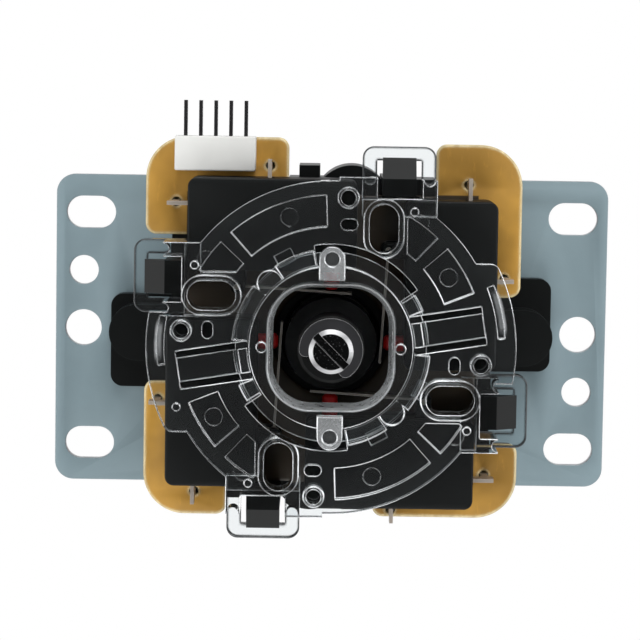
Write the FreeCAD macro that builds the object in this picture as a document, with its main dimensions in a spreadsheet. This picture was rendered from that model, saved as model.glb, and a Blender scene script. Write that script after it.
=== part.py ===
import FreeCAD, Part
import os
import re
import Sketcher

# Arcade joystick: lengths in millimetres, angles in degrees.
# The origin is on the shaft's axis at the upper face of the mounting plate, which meets the panel.
# +Z points to the ball top, +X along the plate's long side. The clear gate is the lowest layer.
# The four switches, hooks and gate tabs stand in a pinwheel: the front one, on the -Y side, is
# drawn here, and quarter turns about Z give the right, back and left ones.

SIZES = (
    ("plate_end", 1.8, "mounting plate past the slots, lengthwise"),
    ("plate_rim", 0.25, "mounting plate past the front and back screw heads"),
    ("plate_thick", 1.6, "mounting plate thickness"),
    ("plate_corner", 3.2, "mounting plate corner radius"),
    ("plate_hole", 9.0, "radius of the plate's middle hole"),
    ("slot_pitch_y", 40.0, "mounting slots, centre to centre along Y"),
    ("slot_length", 8.4, "mounting slot end to end"),
    ("slot_width", 5.5, "mounting slot width"),
    ("side_hole_shift", 1.2, "round side holes, outward of the slots' centres"),
    ("side_hole_y", 10.0, "small side holes, distance off the middle line"),
    ("large_hole", 3.1, "radius of the large side holes"),
    ("small_hole", 2.5, "radius of the small side holes"),
    ("base_height", 12.4, "base housing, from the plate down to the board"),
    ("base_margin", 0.6, "base housing past the switches"),
    ("base_corner", 4.0, "base housing corner radius"),
    ("base_deck", 3.0, "base housing deck thickness"),
    ("base_wall", 2.2, "base housing wall thickness"),
    ("ear_out", 13.35, "ears past the base housing"),
    ("ear_to_slot", 3.75, "from an ear to the mounting slots' centres"),
    ("ear_span", 16.0, "ears, width along Y"),
    ("ear_shift", 1.8, "ears, offset along Y"),
    ("ear_corner", 2.1, "ears, corner radius"),
    ("ear_boss", 4.8, "radius of the screw boss on an ear"),
    ("ear_boss_drop", 8.0, "height of the screw boss on an ear"),
    ("end_boss", 6.3, "radius of the front and back screw bosses"),
    ("end_boss_x", 3.2, "front screw boss, offset along X"),
    ("end_boss_shift", 2.8, "front screw boss, outward of the slots' centres"),
    ("sill_out", 2.5, "black sill behind the board's notches, past the base housing"),
    ("stop_block_x", 3.95, "front stop block, offset along -X"),
    ("stop_block_width", 3.5, "stop block width"),
    ("stop_block_out", 4.6, "stop block past the base housing"),
    ("screw_shank", 1.8, "plate screw shank radius"),
    ("screw_head", 3.4, "plate screw head radius"),
    ("screw_depth", 7.2, "plate screw, length below the plate"),
    ("screw_slot", 0.9, "width of the cross recess in a screw head"),
    ("screw_recess", 1.1, "depth of the cross recess in a screw head"),
    ("screw_fit", 0.05, "clearance round a screw"),
    ("pivot_depth", 8.0, "pivot centre below the plate's upper face"),
    ("pivot_ball", 7.5, "pivot ball radius"),
    ("pivot_top", 5.8, "pivot ball, height of its flat top above its centre"),
    ("pivot_low", 5.0, "pivot ball, depth of its flat underside below its centre"),
    ("pivot_gap", 0.15, "running gap on each side of the spherical bush"),
    ("bush_thick", 0.6, "spherical bush thickness"),
    ("bush_low", 1.1, "spherical bush, lower edge above the pivot centre"),
    ("bush_tall", 4.1, "spherical bush height"),
    ("barrel_wall", 2.6, "wall of the barrel round the pivot"),
    ("mouth_clear", 1.5, "room round the shaft in the base's mouth"),
    ("board_thick", 1.6, "circuit board thickness"),
    ("board_left", 2.4, "board past the terminal tails on the left"),
    ("board_right", 2.8, "board past the terminal tails on the right"),
    ("board_front", 4.75, "board past the terminal tails at the front"),
    ("board_back", 1.15, "board past the terminal tails at the back"),
    ("board_step", 0.75, "front right of the board, set back from its front left"),
    ("board_corner", 7.0, "circuit board outer corner radius"),
    ("board_round", 1.8, "circuit board corner radius at the notches"),
    ("board_hole", 9.5, "radius of the board's middle hole"),
    ("notch_width", 24.6, "board notch width"),
    ("notch_shift", 4.9, "board notch, offset from the middle of its side"),
    ("notch_margin", 0.4, "board notch floor past the switches"),
    ("switch_length", 27.8, "switch case length"),
    ("switch_depth", 15.1, "switch case depth, away from the shaft"),
    ("switch_thick", 10.3, "switch case and cover together"),
    ("switch_face", 12.0, "switch face, distance from the shaft's axis"),
    ("switch_corner", 1.5, "switch case corner radius"),
    ("switch_wall", 1.5, "switch case wall thickness"),
    ("cover_thick", 1.8, "switch cover thickness"),
    ("plunger_inset", 4.0, "switch case, from the plunger's axis to its near end"),
    ("plunger_width", 1.3, "plunger radius"),
    ("plunger_flange", 2.1, "plunger flange radius"),
    ("plunger_flange_thick", 1.0, "plunger flange thickness"),
    ("plunger_travel", 1.4, "plunger travel each way from rest"),
    ("plunger_fit", 0.1, "clearance round a plunger"),
    ("touch_gap", 0.25, "gap between lever and plunger at rest"),
    ("stop_gap", 0.4, "room left behind a plunger at the end of its travel"),
    ("lever_thick", 0.35, "switch lever thickness"),
    ("lever_width", 3.2, "switch lever width along Z"),
    ("lever_clear", 0.6, "gap between actuator and lever at rest"),
    ("lever_slope", 3.5, "switch lever's slope at rest"),
    ("lever_arm", 15.5, "from the lever's pin to the plunger's axis"),
    ("lever_tail", 3.3, "lever past the plunger's axis"),
    ("pin_radius", 0.5, "lever pin radius"),
    ("pin_gap", 0.08, "running gap round a lever pin"),
    ("curl_wall", 0.4, "wall of the lever's curl round its pin"),
    ("lug_radius", 1.3, "radius of a hinge lug's end"),
    ("lug_thick", 1.2, "hinge lug thickness"),
    ("lug_gap", 0.25, "gap between lever and hinge lug"),
    ("blade_thick", 0.6, "terminal blade thickness"),
    ("blade_width", 3.0, "terminal blade width along Z"),
    ("com_out", 3.6, "common terminal, length outside the case"),
    ("out_out", 3.0, "output terminal, length outside the case"),
    ("blade_in", 0.3, "terminal blade, length inside the cavity"),
    ("blade_fit", 0.05, "clearance round a blade in the case"),
    ("tail_width", 1.1, "width of the tail that goes through the board"),
    ("tail_inset", 0.7, "tail, from the end of its blade"),
    ("tail_proud", 1.0, "tail above the board"),
    ("tail_fit", 0.15, "clearance round a tail in the board"),
    ("com_setback", 10.7, "common terminal, behind the switch face"),
    ("out_offset", 10.5, "output terminal, distance from the plunger's axis"),
    ("snap_thick", 0.25, "contact spring thickness"),
    ("header_side", 2.1, "gap between header and output terminal"),
    ("header_width", 13.4, "header housing along X"),
    ("header_depth", 5.7, "header housing along Y"),
    ("header_tall", 5.0, "header housing height"),
    ("header_gap", 0.95, "gap between header and switch"),
    ("post_pitch", 2.5, "header posts, centre to centre"),
    ("post_size", 0.64, "header post, side of its square section"),
    ("post_hole", 0.55, "radius of a post's hole in the board"),
    ("post_out", 5.9, "header posts, length outside the housing"),
    ("post_fit", 0.03, "clearance round a header post"),
    ("gate_gap", 0.2, "gap between switches and gate"),
    ("gate_depth", 5.5, "gate, from its upper edges to its front face"),
    ("disc_inset", 0.2, "gate disc, inward of the tab legs"),
    ("disc_thick", 2.6, "gate disc thickness"),
    ("lobe_out", 2.9, "gate side lobes past the disc"),
    ("lobe_up", 14.1, "gate side lobes, reach towards the front"),
    ("lobe_down", 5.5, "gate side lobes, reach towards the back"),
    ("lobe_groove_out", 0.5, "arc groove in the lobes, outward of the disc"),
    ("lobe_groove_width", 1.1, "gate side lobes, width of the arc groove"),
    ("right_groove_start", -22.0, "arc groove in the right lobe, angle where it starts"),
    ("right_groove_sweep", 18.0, "arc groove in the right lobe, angle that it spans"),
    ("left_groove_start", -6.5, "arc groove in the left lobe, angle where it starts"),
    ("left_groove_sweep", 16.5, "arc groove in the left lobe, angle that it spans"),
    ("lobe_round", 1.6, "gate side lobes, radius of their front corner"),
    ("lobe_groove_deep", 1.0, "arc groove in the lobes, depth"),
    ("step_x", 1.0, "small step beside the front tab, start along X"),
    ("step_out", 0.6, "small step beside the front tab, past the disc"),
    ("tab_gap", 0.75, "gap between tab and the switch beside it"),
    ("hook_width", 5.5, "hook width"),
    ("hook_thick", 2.8, "hook stem thickness"),
    ("hook_clear", 0.4, "gap between hook and board"),
    ("hook_nose", 2.8, "hook nose height"),
    ("hook_lip", 0.4, "hook nose, height of its outer edge"),
    ("hook_catch", 0.5, "hook nose, overlap on the tab's bar"),
    ("catch_gap", 0.15, "gap between hook nose and bar"),
    ("tab_width", 12.1, "tab width"),
    ("hook_room", 2.9, "from the hook stem to the bar that it catches"),
    ("tab_corner", 1.9, "tab corner radius"),
    ("tab_drop", 5.95, "tab, below the board"),
    ("tab_thick", 2.5, "tab thickness"),
    ("bar_width", 2.3, "width of the bar that the hook catches"),
    ("window_width", 7.3, "tab window width"),
    ("window_gap", 0.2, "gap between window and hook stem"),
    ("foot_deep", 2.7, "tab foot, inward of the leg"),
    ("leg_gap", 0.3, "gap between tab leg and switch"),
    ("arm_round", 0.95, "radius of the hollow at the root of a tab arm"),
    ("oval_x", 8.28, "front oval tube, offset along X"),
    ("oval_inset", 4.9, "oval tube, inward of the tab window"),
    ("oval_length", 9.6, "oval tube, outer length"),
    ("oval_width", 6.5, "oval tube, outer width"),
    ("oval_wall", 0.9, "oval tube wall"),
    ("collar_proud", 0.4, "tubes, height above the gate's front face"),
    ("tube_x", 2.48, "front round tube, offset along X"),
    ("tube_inset", 2.8, "round tube, inward of the disc's edge"),
    ("tube_radius", 1.7, "round tube, outer radius"),
    ("tube_wall", 0.5, "round tube wall"),
    ("slit_x", 2.65, "front small slot, offset along X"),
    ("slit_inset", 4.3, "small slot, inward of the round tube"),
    ("slit_length", 2.7, "small slot length"),
    ("slit_width", 1.7, "small slot width"),
    ("pocket_width", 5.1, "gate pockets, width along the radius"),
    ("pocket_rim", 2.4, "gate pockets, inward of the disc's edge"),
    ("pocket_deep", 1.4, "gate pockets, depth"),
    ("long_pocket_start", -131.6, "long pockets, angle where they start"),
    ("long_pocket_sweep", 39.1, "long pockets, angle that they span"),
    ("long_mark_turn", -108.4, "mould mark in a long pocket, angle"),
    ("side_pocket_start", -41.3, "side pockets, angle where they start"),
    ("side_pocket_sweep", 19.3, "side pockets, angle that they span"),
    ("side_mark_turn", -31.6, "mould mark in a side pocket, angle"),
    ("short_pocket_start", -60.0, "short pockets, angle where they start"),
    ("short_pocket_sweep", 13.2, "short pockets, angle that they span"),
    ("mark_turn", 55.4, "mould marks on the rim, angle"),
    ("mark_deep", 0.06, "mould marks, depth"),
    ("pip_radius", 0.64, "small pip beside each tab, radius"),
    ("pip_inset", 1.3, "small pip, inward of the disc's edge"),
    ("pip_turn", 59.4, "small pip, angle"),
    ("lobe_pip_x", 25.0, "pip on the left lobe, to the left of the shaft's axis"),
    ("lobe_pip_y", 10.0, "pip on the left lobe, behind the shaft's axis"),
    ("oval_rim", 0.57, "short pockets, from the oval tube"),
    ("tongue_turn", 9.2, "spring tongues, angle from the X axis"),
    ("tongue_width", 4.05, "spring tongue width"),
    ("tongue_rim", 2.1, "spring tongue root, inward of the disc's edge"),
    ("tongue_lip", 1.4, "thick lip at a tongue's free end"),
    ("tongue_slit", 1.05, "slit beside a spring tongue"),
    ("ring_radius", 13.35, "restrictor ring radius"),
    ("ring_lip", 2.25, "restrictor ring flange, past the ring"),
    ("ring_thick", 2.4, "restrictor ring thickness"),
    ("ring_gap", 0.25, "running gap round the restrictor ring"),
    ("lip_thick", 1.1, "gate lip that holds the ring's flange"),
    ("opening_half", 9.3, "ring opening, half its width across flats"),
    ("opening_corner", 6.0, "ring opening, corner radius"),
    ("opening_wall", 1.2, "ring opening, wall thickness"),
    ("opening_flare", 1.05, "ring opening, how much wider it is at the front, each side"),
    ("opening_tall", 5.0, "ring opening, wall height"),
    ("knob_width", 4.05, "ring knob width"),
    ("knob_inset", 0.6, "ring knob, gap between its foot and the opening's wall"),
    ("knob_shift", 1.15, "ring knob, centre of its round end past the ring"),
    ("knob_proud", 1.4, "ring knob, height above the gate's front face"),
    ("knob_dimple", 1.25, "radius of the dimple in a knob"),
    ("knob_gap", 0.3, "gap round the knob in its track"),
    ("ring_turn", 45.0, "ring, turn between its two settings"),
    ("knob_room", 10.0, "knob tracks, angle past a knob at each end"),
    ("recess_deep", 0.5, "shallow recesses round the ring, depth"),
    ("near_recess_start", -125.0, "recess before a knob, angle where it starts"),
    ("near_recess_sweep", 24.0, "recess before a knob, angle that it spans"),
    ("far_recess_start", -176.0, "recess beside a tongue, angle where it starts"),
    ("far_recess_sweep", 34.0, "recess beside a tongue, angle that it spans"),
    ("side_recess_start", -33.0, "small recess past a track, angle where it starts"),
    ("side_recess_sweep", 10.0, "small recess past a track, angle that it spans"),
    ("round_recess_turn", 46.0, "round recesses, angle"),
    ("peg_radius", 0.85, "ring peg radius"),
    ("peg_x", 11.3, "ring pegs, distance from the shaft's axis"),
    ("peg_proud", 0.6, "ring peg height"),
    ("clip_width", 3.0, "clips behind the ring, width"),
    ("clip_thick", 0.8, "clips behind the ring, thickness"),
    ("clip_catch", 0.4, "clips behind the ring, overlap on its flange"),
    ("clip_root", 1.8, "clips behind the ring, root past the flange"),
    ("clip_turn", 25.0, "clips behind the ring, angle of the first"),
    ("clip_pitch", 37.0, "clips behind the ring, angle to the second"),
    ("shaft_ledge", 0.4, "shaft shoulder, past the lower radius"),
    ("shaft_low", 3.6, "shaft radius below the pivot"),
    ("shaft_step", 2.0, "shaft shoulder above the pivot centre"),
    ("shaft_proud", 6.5, "shaft end below the gate's front face"),
    ("shaft_top", 28.0, "shaft shoulder under the ball top, above the plate"),
    ("shaft_bevel", 0.7, "bevel on the shaft's lower end"),
    ("shaft_fit", 0.03, "clearance of the pieces on the shaft"),
    ("driver_slot", 1.3, "screwdriver slot width"),
    ("driver_deep", 1.6, "screwdriver slot depth"),
    ("thread_radius", 2.95, "threaded stub radius"),
    ("thread_length", 9.5, "threaded stub length"),
    ("ball_radius", 17.5, "ball top radius"),
    ("ball_flat", 6.5, "radius of the flat under the ball top"),
    ("insert_radius", 4.6, "threaded insert radius"),
    ("insert_length", 11.0, "threaded insert length"),
    ("insert_fit", 0.05, "clearance of the insert"),
    ("washer_radius", 17.0, "dust washer radius"),
    ("washer_thick", 1.0, "dust washer thickness"),
    ("washer_height", 3.2, "dust washer above the plate, on top of a panel"),
    ("seat_radius", 6.6, "spring seat radius"),
    ("seat_thick", 1.05, "spring seat thickness"),
    ("seat_hub_tall", 1.8, "spring seat hub height"),
    ("seat_gap", 0.05, "gap between pieces stacked on the shaft"),
    ("wire_radius", 0.45, "spring wire radius"),
    ("coil_radius", 5.3, "spring, mean coil radius"),
    ("coil_turns", 5, "spring turns"),
    ("cup_gap", 0.35, "gap beside the spring in its cup and round its hub"),
    ("actuator_radius", 7.55, "actuator, wide tier radius"),
    ("actuator_low", 5.4, "actuator, lower tier radius"),
    ("actuator_bevel", 0.5, "bevel on the actuator's lower end"),
    ("cup_deep", 4.5, "actuator, depth of its spring cup"),
    ("actuator_drop", 1.4, "actuator, top below the board"),
    ("actuator_wide", 7.0, "actuator, wide tier height"),
    ("actuator_cone", 1.2, "actuator, height of the slope between tiers"),
    ("actuator_proud", 2.8, "actuator, end below the gate's front face"),
    ("clip_ring_radius", 5.15, "E-ring outer radius"),
    ("clip_ring_thick", 0.8, "E-ring thickness"),
    ("clip_ring_start", 54.0, "E-ring, where its opening starts"),
    ("clip_ring_open", 126.0, "E-ring, angle of its opening"),
    ("groove_radius", 2.9, "radius of the shaft's groove"),
)

# Sizes that follow from the ones above
DERIVED = (
    ("base_half", "switch_length - plunger_inset + base_margin", "base housing, half its square body's side"),
    ("ear_reach", "base_half + ear_out", "ears, reach from the shaft's axis"),
    ("slot_pitch_x", "2 * (ear_reach + ear_to_slot)", "mounting slots, centre to centre along X"),
    ("plate_length", "slot_pitch_x + slot_length + 2 * plate_end", "mounting plate along X"),
    ("side_hole_x", "slot_pitch_x / 2 + side_hole_shift", "round side holes, distance from the shaft's axis"),
    ("end_boss_y", "slot_pitch_y / 2 + end_boss_shift", "front screw boss, distance from the shaft's axis"),
    ("plate_width", "2 * (end_boss_y + screw_head + screw_fit + plate_rim)", "mounting plate along Y"),
    ("stop_block_reach", "base_half + stop_block_out", "stop block, reach from the shaft's axis"),
    ("notch_floor", "switch_length - plunger_inset + notch_margin", "board notch floor, from the axis"),
    ("header_x", "out_offset + blade_thick / 2 + header_side + header_width / 2", "header centre, along -X"),
    ("hook_x", "plunger_inset + tab_gap + tab_width / 2", "front hook and tab, offset along X"),
    ("leg_out", "notch_floor + hook_clear + hook_thick", "tab leg, outer edge"),
    ("tab_reach", "leg_out + hook_room + bar_width", "tab, reach from the shaft's axis"),
    ("foot_in", "switch_length - plunger_inset + leg_gap - foot_deep", "tab foot, inner edge"),
    ("disc_radius", "leg_out - disc_inset", "gate disc radius"),
    ("lobe_radius", "disc_radius + lobe_out", "gate side lobes, radius"),
    ("lobe_groove", "disc_radius + lobe_groove_out", "gate side lobes, radius of the arc groove"),
    ("step_reach", "disc_radius + step_out", "small step beside the front tab, reach"),
    ("oval_y", "notch_floor + hook_clear - window_gap - oval_inset", "front oval tube, from the axis"),
    ("tube_y", "disc_radius - tube_inset", "front round tube, from the shaft's axis"),
    ("slit_y", "tube_y - slit_inset", "front small slot, from the shaft's axis"),
    ("pocket_out", "disc_radius - pocket_rim", "gate pockets, outer radius"),
    ("pocket_in", "pocket_out - pocket_width", "gate pockets, inner radius"),
    ("pocket_line", "oval_x + oval_width / 2 + oval_rim", "short pockets, straight edge by the oval tube"),
    ("tongue_out", "disc_radius - tongue_rim", "spring tongue root, from the shaft's axis"),
    ("ring_flange", "ring_radius + ring_lip", "restrictor ring flange radius"),
    ("knob_centre", "ring_radius + knob_shift", "ring knob, centre of its round end"),
    ("shaft_radius", "shaft_low + shaft_ledge", "shaft radius above the pivot"),
    ("actuator_cup", "coil_radius + wire_radius + cup_gap", "actuator, radius of its spring cup"),
    ("seat_hub", "coil_radius - wire_radius - cup_gap", "spring seat hub radius"),
)

QUARTERS = (("front", 0), ("right", 90), ("back", 180), ("left", 270))
QUARTER_COS = {0: 1, 90: 0, 180: -1, 270: 0}
QUARTER_SIN = {0: 0, 90: 1, 180: 0, 270: -1}
PAST = "1"

doc = FreeCAD.newDocument("arcade_joystick")
sheet = doc.addObject("Spreadsheet::Sheet", "Sizes")
for row, (alias, value, note) in enumerate(SIZES, 1):
    sheet.set(f"A{row}", note)
    sheet.set(f"B{row}", str(value))
    sheet.setAlias(f"B{row}", alias)
doc.recompute()
for row, (alias, formula, note) in enumerate(DERIVED, len(SIZES) + 1):
    sheet.set(f"A{row}", note)
    sheet.set(f"B{row}", f"={formula}")
    sheet.setAlias(f"B{row}", alias)
    doc.recompute()

ALIASES = {alias for alias, value, note in SIZES + DERIVED}
NODES = []

# Levels along Z, from the plate down to the shaft's end
PLATE_BACK = "(-plate_thick)"
DECK_BACK = "(-plate_thick - base_deck)"
BOARD_TOP = "(-plate_thick - base_height)"
BOARD_BACK = f"({BOARD_TOP} - board_thick)"
SWITCH_MID = f"({BOARD_BACK} - switch_thick / 2)"
SWITCH_BACK = f"({BOARD_BACK} - switch_thick)"
COVER_TOP = f"({SWITCH_BACK} + cover_thick)"
GATE_TOP = f"({SWITCH_BACK} - gate_gap)"
GATE_FRONT = f"({GATE_TOP} - gate_depth)"
DISC_TOP = f"({GATE_FRONT} + disc_thick)"
TAB_TOP = f"({BOARD_BACK} - tab_drop)"
TAB_LOW = f"({TAB_TOP} - tab_thick)"
HOOK_CATCH = f"({TAB_LOW} - catch_gap)"
HOOK_TIP = f"({HOOK_CATCH} - hook_nose)"
PIVOT = "(-pivot_depth)"
SEAT_TOP = f"({PIVOT} - pivot_low - seat_gap)"
SEAT_LOW = f"({SEAT_TOP} - seat_thick)"
ACTUATOR_TOP = f"({BOARD_BACK} - actuator_drop)"
ACTUATOR_STEP = f"({ACTUATOR_TOP} - actuator_wide)"
ACTUATOR_LOW = f"({GATE_FRONT} - actuator_proud)"
CUP_FLOOR = f"({ACTUATOR_TOP} - cup_deep)"
GROOVE_TOP = f"({ACTUATOR_LOW} - seat_gap)"
GROOVE_LOW = f"({GROOVE_TOP} - clip_ring_thick - seat_gap)"
SHAFT_END = f"({GATE_FRONT} - shaft_proud)"
SHAFT_STEP = f"({PIVOT} + shaft_step)"

# Distances from the shaft's axis that several pieces share
SOCKET = "(pivot_ball + 2 * pivot_gap + bush_thick)"
SWITCH_FAR = "(switch_length - plunger_inset)"
SWITCH_OUT = "(switch_face + switch_depth)"
CAVITY_FACE = "(switch_face + switch_wall)"
HOOK_FACE = "(notch_floor + hook_clear)"
HOOK_OUT = f"({HOOK_FACE} + hook_thick)"
WINDOW_IN = f"({HOOK_FACE} - window_gap)"
BAR_IN = "(tab_reach - bar_width)"
LEVER_MID = "(actuator_radius + lever_clear + lever_thick / 2)"
LEVER_OUT = "(actuator_radius + lever_clear + lever_thick)"
PIN_X = "(-lever_arm)"
PIN_Y = f"(-{LEVER_MID} - lever_arm * tan(lever_slope))"
PLUNGER_TIP = f"({LEVER_OUT} + touch_gap)"
FLANGE_FACE = f"({CAVITY_FACE} + plunger_travel + stop_gap)"
PLUNGER_END = f"({FLANGE_FACE} + plunger_flange_thick)"
SNAP_FACE = f"({PLUNGER_END} + plunger_travel + stop_gap)"
COM_Y = "(-switch_face - com_setback)"
COM_END = f"({SWITCH_FAR} + com_out)"
OUT_END = f"({SWITCH_OUT} + out_out)"
COM_TAIL = f"({COM_END} - tail_inset - tail_width / 2)"
OUT_TAIL = f"({OUT_END} - tail_inset - tail_width / 2)"
TAIL_HOLE = "(sqrt(tail_width ^ 2 + blade_thick ^ 2) / 2 + tail_fit)"
RING_HOLE = "(ring_radius + ring_gap)"
TRACK_OUT = "(knob_centre + knob_width / 2 + knob_gap)"
SHAFT_BORE = "(shaft_low + shaft_fit)"


def named(text):
    """Expression with each size written as a cell of the sheet."""
    return re.sub(r"[a-z_]\w*", lambda word: f"Sizes.{word[0]}" if word[0] in ALIASES else word[0], str(text))


def bind(item, **values):
    for prop, text in values.items():
        item.setExpression(prop.replace("__", "."), named(text))
    return item


def size(alias):
    return float(sheet.get(alias))


def place(item, x="0", y="0", z="0"):
    return bind(item, Placement__Base__x=x, Placement__Base__y=y, Placement__Base__z=z)


def turn(item, angle):
    """Turn a finished item about the shaft's axis."""
    item.Placement.Rotation = FreeCAD.Rotation(FreeCAD.Vector(0, 0, 1), 0)
    return bind(item, Placement__Rotation__Angle=angle)


def slab(name, x, y, z):
    """Box between two bounds on each axis."""
    item = doc.addObject("Part::Box", name)
    bind(item, Length=f"{x[1]} - ({x[0]})", Width=f"{y[1]} - ({y[0]})", Height=f"{z[1]} - ({z[0]})")
    return place(item, x[0], y[0], z[0])


def rod(name, radius, z, at=("0", "0")):
    """Cylinder along Z."""
    item = doc.addObject("Part::Cylinder", name)
    bind(item, Radius=radius, Height=f"{z[1]} - ({z[0]})")
    return place(item, at[0], at[1], z[0])


def rod_along_y(name, radius, y, x, z):
    item = doc.addObject("Part::Cylinder", name)
    item.Placement.Rotation = FreeCAD.Rotation(FreeCAD.Vector(1, 0, 0), -90)
    bind(item, Radius=radius, Height=f"{y[1]} - ({y[0]})")
    return place(item, x, y[0], z)


def sector(name, inner, outer, start, sweep, z):
    """Slice of a ring about the shaft's axis."""
    whole = doc.addObject("Part::Cylinder", name + "_outer")
    bind(whole, Radius=outer, Height=f"{z[1]} - ({z[0]})", Angle=sweep)
    place(whole, z=z[0])
    turn(whole, start)
    return cut(name, whole, [rod(name + "_inner", inner, (f"{z[0]} - {PAST}", f"{z[1]} + {PAST}"))])


def ball(name, radius, z):
    item = doc.addObject("Part::Sphere", name)
    bind(item, Radius=radius)
    return place(item, z=z)


def cone(name, low, high, z, at=("0", "0")):
    item = doc.addObject("Part::Cone", name)
    bind(item, Radius1=low, Radius2=high, Height=f"{z[1]} - ({z[0]})")
    return place(item, at[0], at[1], z[0])


def fuse(name, items):
    item = doc.addObject("Part::MultiFuse", name)
    item.Shapes = items
    item.Refine = True
    return item


def common(name, first, second):
    item = doc.addObject("Part::Common", name)
    item.Base = first
    item.Tool = second
    return item


def cut(name, solid, tools):
    item = doc.addObject("Part::Cut", name)
    item.Base = solid
    item.Tool = tools[0] if len(tools) == 1 else fuse(name + "_tools", tools)
    return item


def group(name, items):
    item = doc.addObject("Part::Compound", name)
    item.Links = items
    return item


def rounded_slab(name, x, y, z, radius):
    """Plate with round upright corners."""
    radius = f"({radius})"
    across = slab(name + "_across", x, (f"{y[0]} + {radius}", f"{y[1]} - {radius}"), z)
    along = slab(name + "_along", (f"{x[0]} + {radius}", f"{x[1]} - {radius}"), y, z)
    corners = []
    for i, corner_x in enumerate((f"{x[0]} + {radius}", f"{x[1]} - {radius}")):
        for j, corner_y in enumerate((f"{y[0]} + {radius}", f"{y[1]} - {radius}")):
            corners.append(rod(f"{name}_corner_{i}{j}", radius, z, (corner_x, corner_y)))
    return fuse(name, [across, along] + corners)


def flared_slab(name, half, corner, flare, z):
    """Square prism with round corners that is wider at its lower end."""
    inner = f"({half} - {corner})"
    wide = f"({half} + {flare})"
    pieces = []
    for run, low, high in (("across", (wide, inner), (half, inner)), ("along", (inner, wide), (inner, half))):
        wedge = doc.addObject("Part::Wedge", f"{name}_{run}")
        wedge.Placement.Rotation = FreeCAD.Rotation(FreeCAD.Vector(1, 0, 0), 90)
        bind(wedge, Ymin=z[0], Ymax=z[1])
        bind(wedge, Xmin=f"-{low[0]}", Xmax=low[0], Zmin=f"-{low[1]}", Zmax=low[1])
        bind(wedge, X2min=f"-{high[0]}", X2max=high[0], Z2min=f"-{high[1]}", Z2max=high[1])
        pieces.append(wedge)
    for i, corner_x in enumerate((f"-{inner}", inner)):
        for j, corner_y in enumerate((f"-{inner}", inner)):
            at = (corner_x, corner_y)
            pieces.append(cone(f"{name}_corner_{i}{j}", f"{corner} + {flare}", corner, z, at))
    return fuse(name, pieces)


def obround(name, centre, length, width, z, along_y=False):
    """Slot-shaped prism with round ends."""
    reach = f"(({length}) - ({width})) / 2"
    half = f"({width}) / 2"
    ends = []
    for i, sign in enumerate(("-", "+")):
        if along_y:
            at = (centre[0], f"{centre[1]} {sign} {reach}")
        else:
            at = (f"{centre[0]} {sign} {reach}", centre[1])
        ends.append(rod(f"{name}_end_{i}", half, z, at))
    run_x = (f"{centre[0]} - {half if along_y else reach}", f"{centre[0]} + {half if along_y else reach}")
    run_y = (f"{centre[1]} - {reach if along_y else half}", f"{centre[1]} + {reach if along_y else half}")
    return fuse(name, ends + [slab(name + "_run", run_x, run_y, z)])


def sketch_on(body, name, role):
    sketch = body.newObject("Sketcher::SketchObject", name)
    plane = [item for item in body.Origin.OriginFeatures if item.Role == role][0]
    sketch.AttachmentSupport = [(plane, "")]
    sketch.MapMode = "FlatFace"
    return sketch


def outline(sketch, points):
    """Closed run of lines whose corners are bound to the sheet."""
    scratch = [[doc_value(text) for text in point] for point in points]
    count = len(points)
    for i, (here, ahead) in enumerate(zip(scratch, scratch[1:] + scratch[:1])):
        ends = [FreeCAD.Vector(point[0], point[1], 0) for point in (here, ahead)]
        sketch.addGeometry(Part.LineSegment(*ends), False)
    for i in range(count):
        sketch.addConstraint(Sketcher.Constraint("Coincident", i, 2, (i + 1) % count, 1))
    for i, point in enumerate(points):
        for kind, text, start in zip(("DistanceX", "DistanceY"), point, scratch[i]):
            which = sketch.addConstraint(Sketcher.Constraint(kind, -1, 1, i, 1, start))
            sketch.setExpression(f"Constraints[{which}]", named(text))


def doc_value(text):
    """Present value of an expression on the sheet's sizes."""
    return float(sheet.evalExpression(named(text)))


def turned(name, points):
    """Body turned about the shaft's axis from (radius, height) points."""
    body = doc.addObject("PartDesign::Body", name)
    sketch = sketch_on(body, name + "_profile", "XZ_Plane")
    outline(sketch, points)
    revolution = body.newObject("PartDesign::Revolution", name + "_turn")
    revolution.Profile = sketch
    revolution.ReferenceAxis = (sketch, ["V_Axis"])
    revolution.Angle = 360
    return body


def node(label, item):
    item.Label = label
    NODES.append(item)
    return item


# Mounting plate and its screws

SCREW_PLACES = (
    ("ear_reach - ear_boss", "0"),
    ("ear_boss - ear_reach", "0"),
    ("end_boss_x", "-end_boss_y"),
    ("-end_boss_x", "end_boss_y"),
)


def screw_cone(name, place_xy, room):
    """Countersunk head, as deep as the plate is thick."""
    return cone(name, f"screw_shank + {room}", f"screw_head + {room}", (PLATE_BACK, "0"), place_xy)


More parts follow.
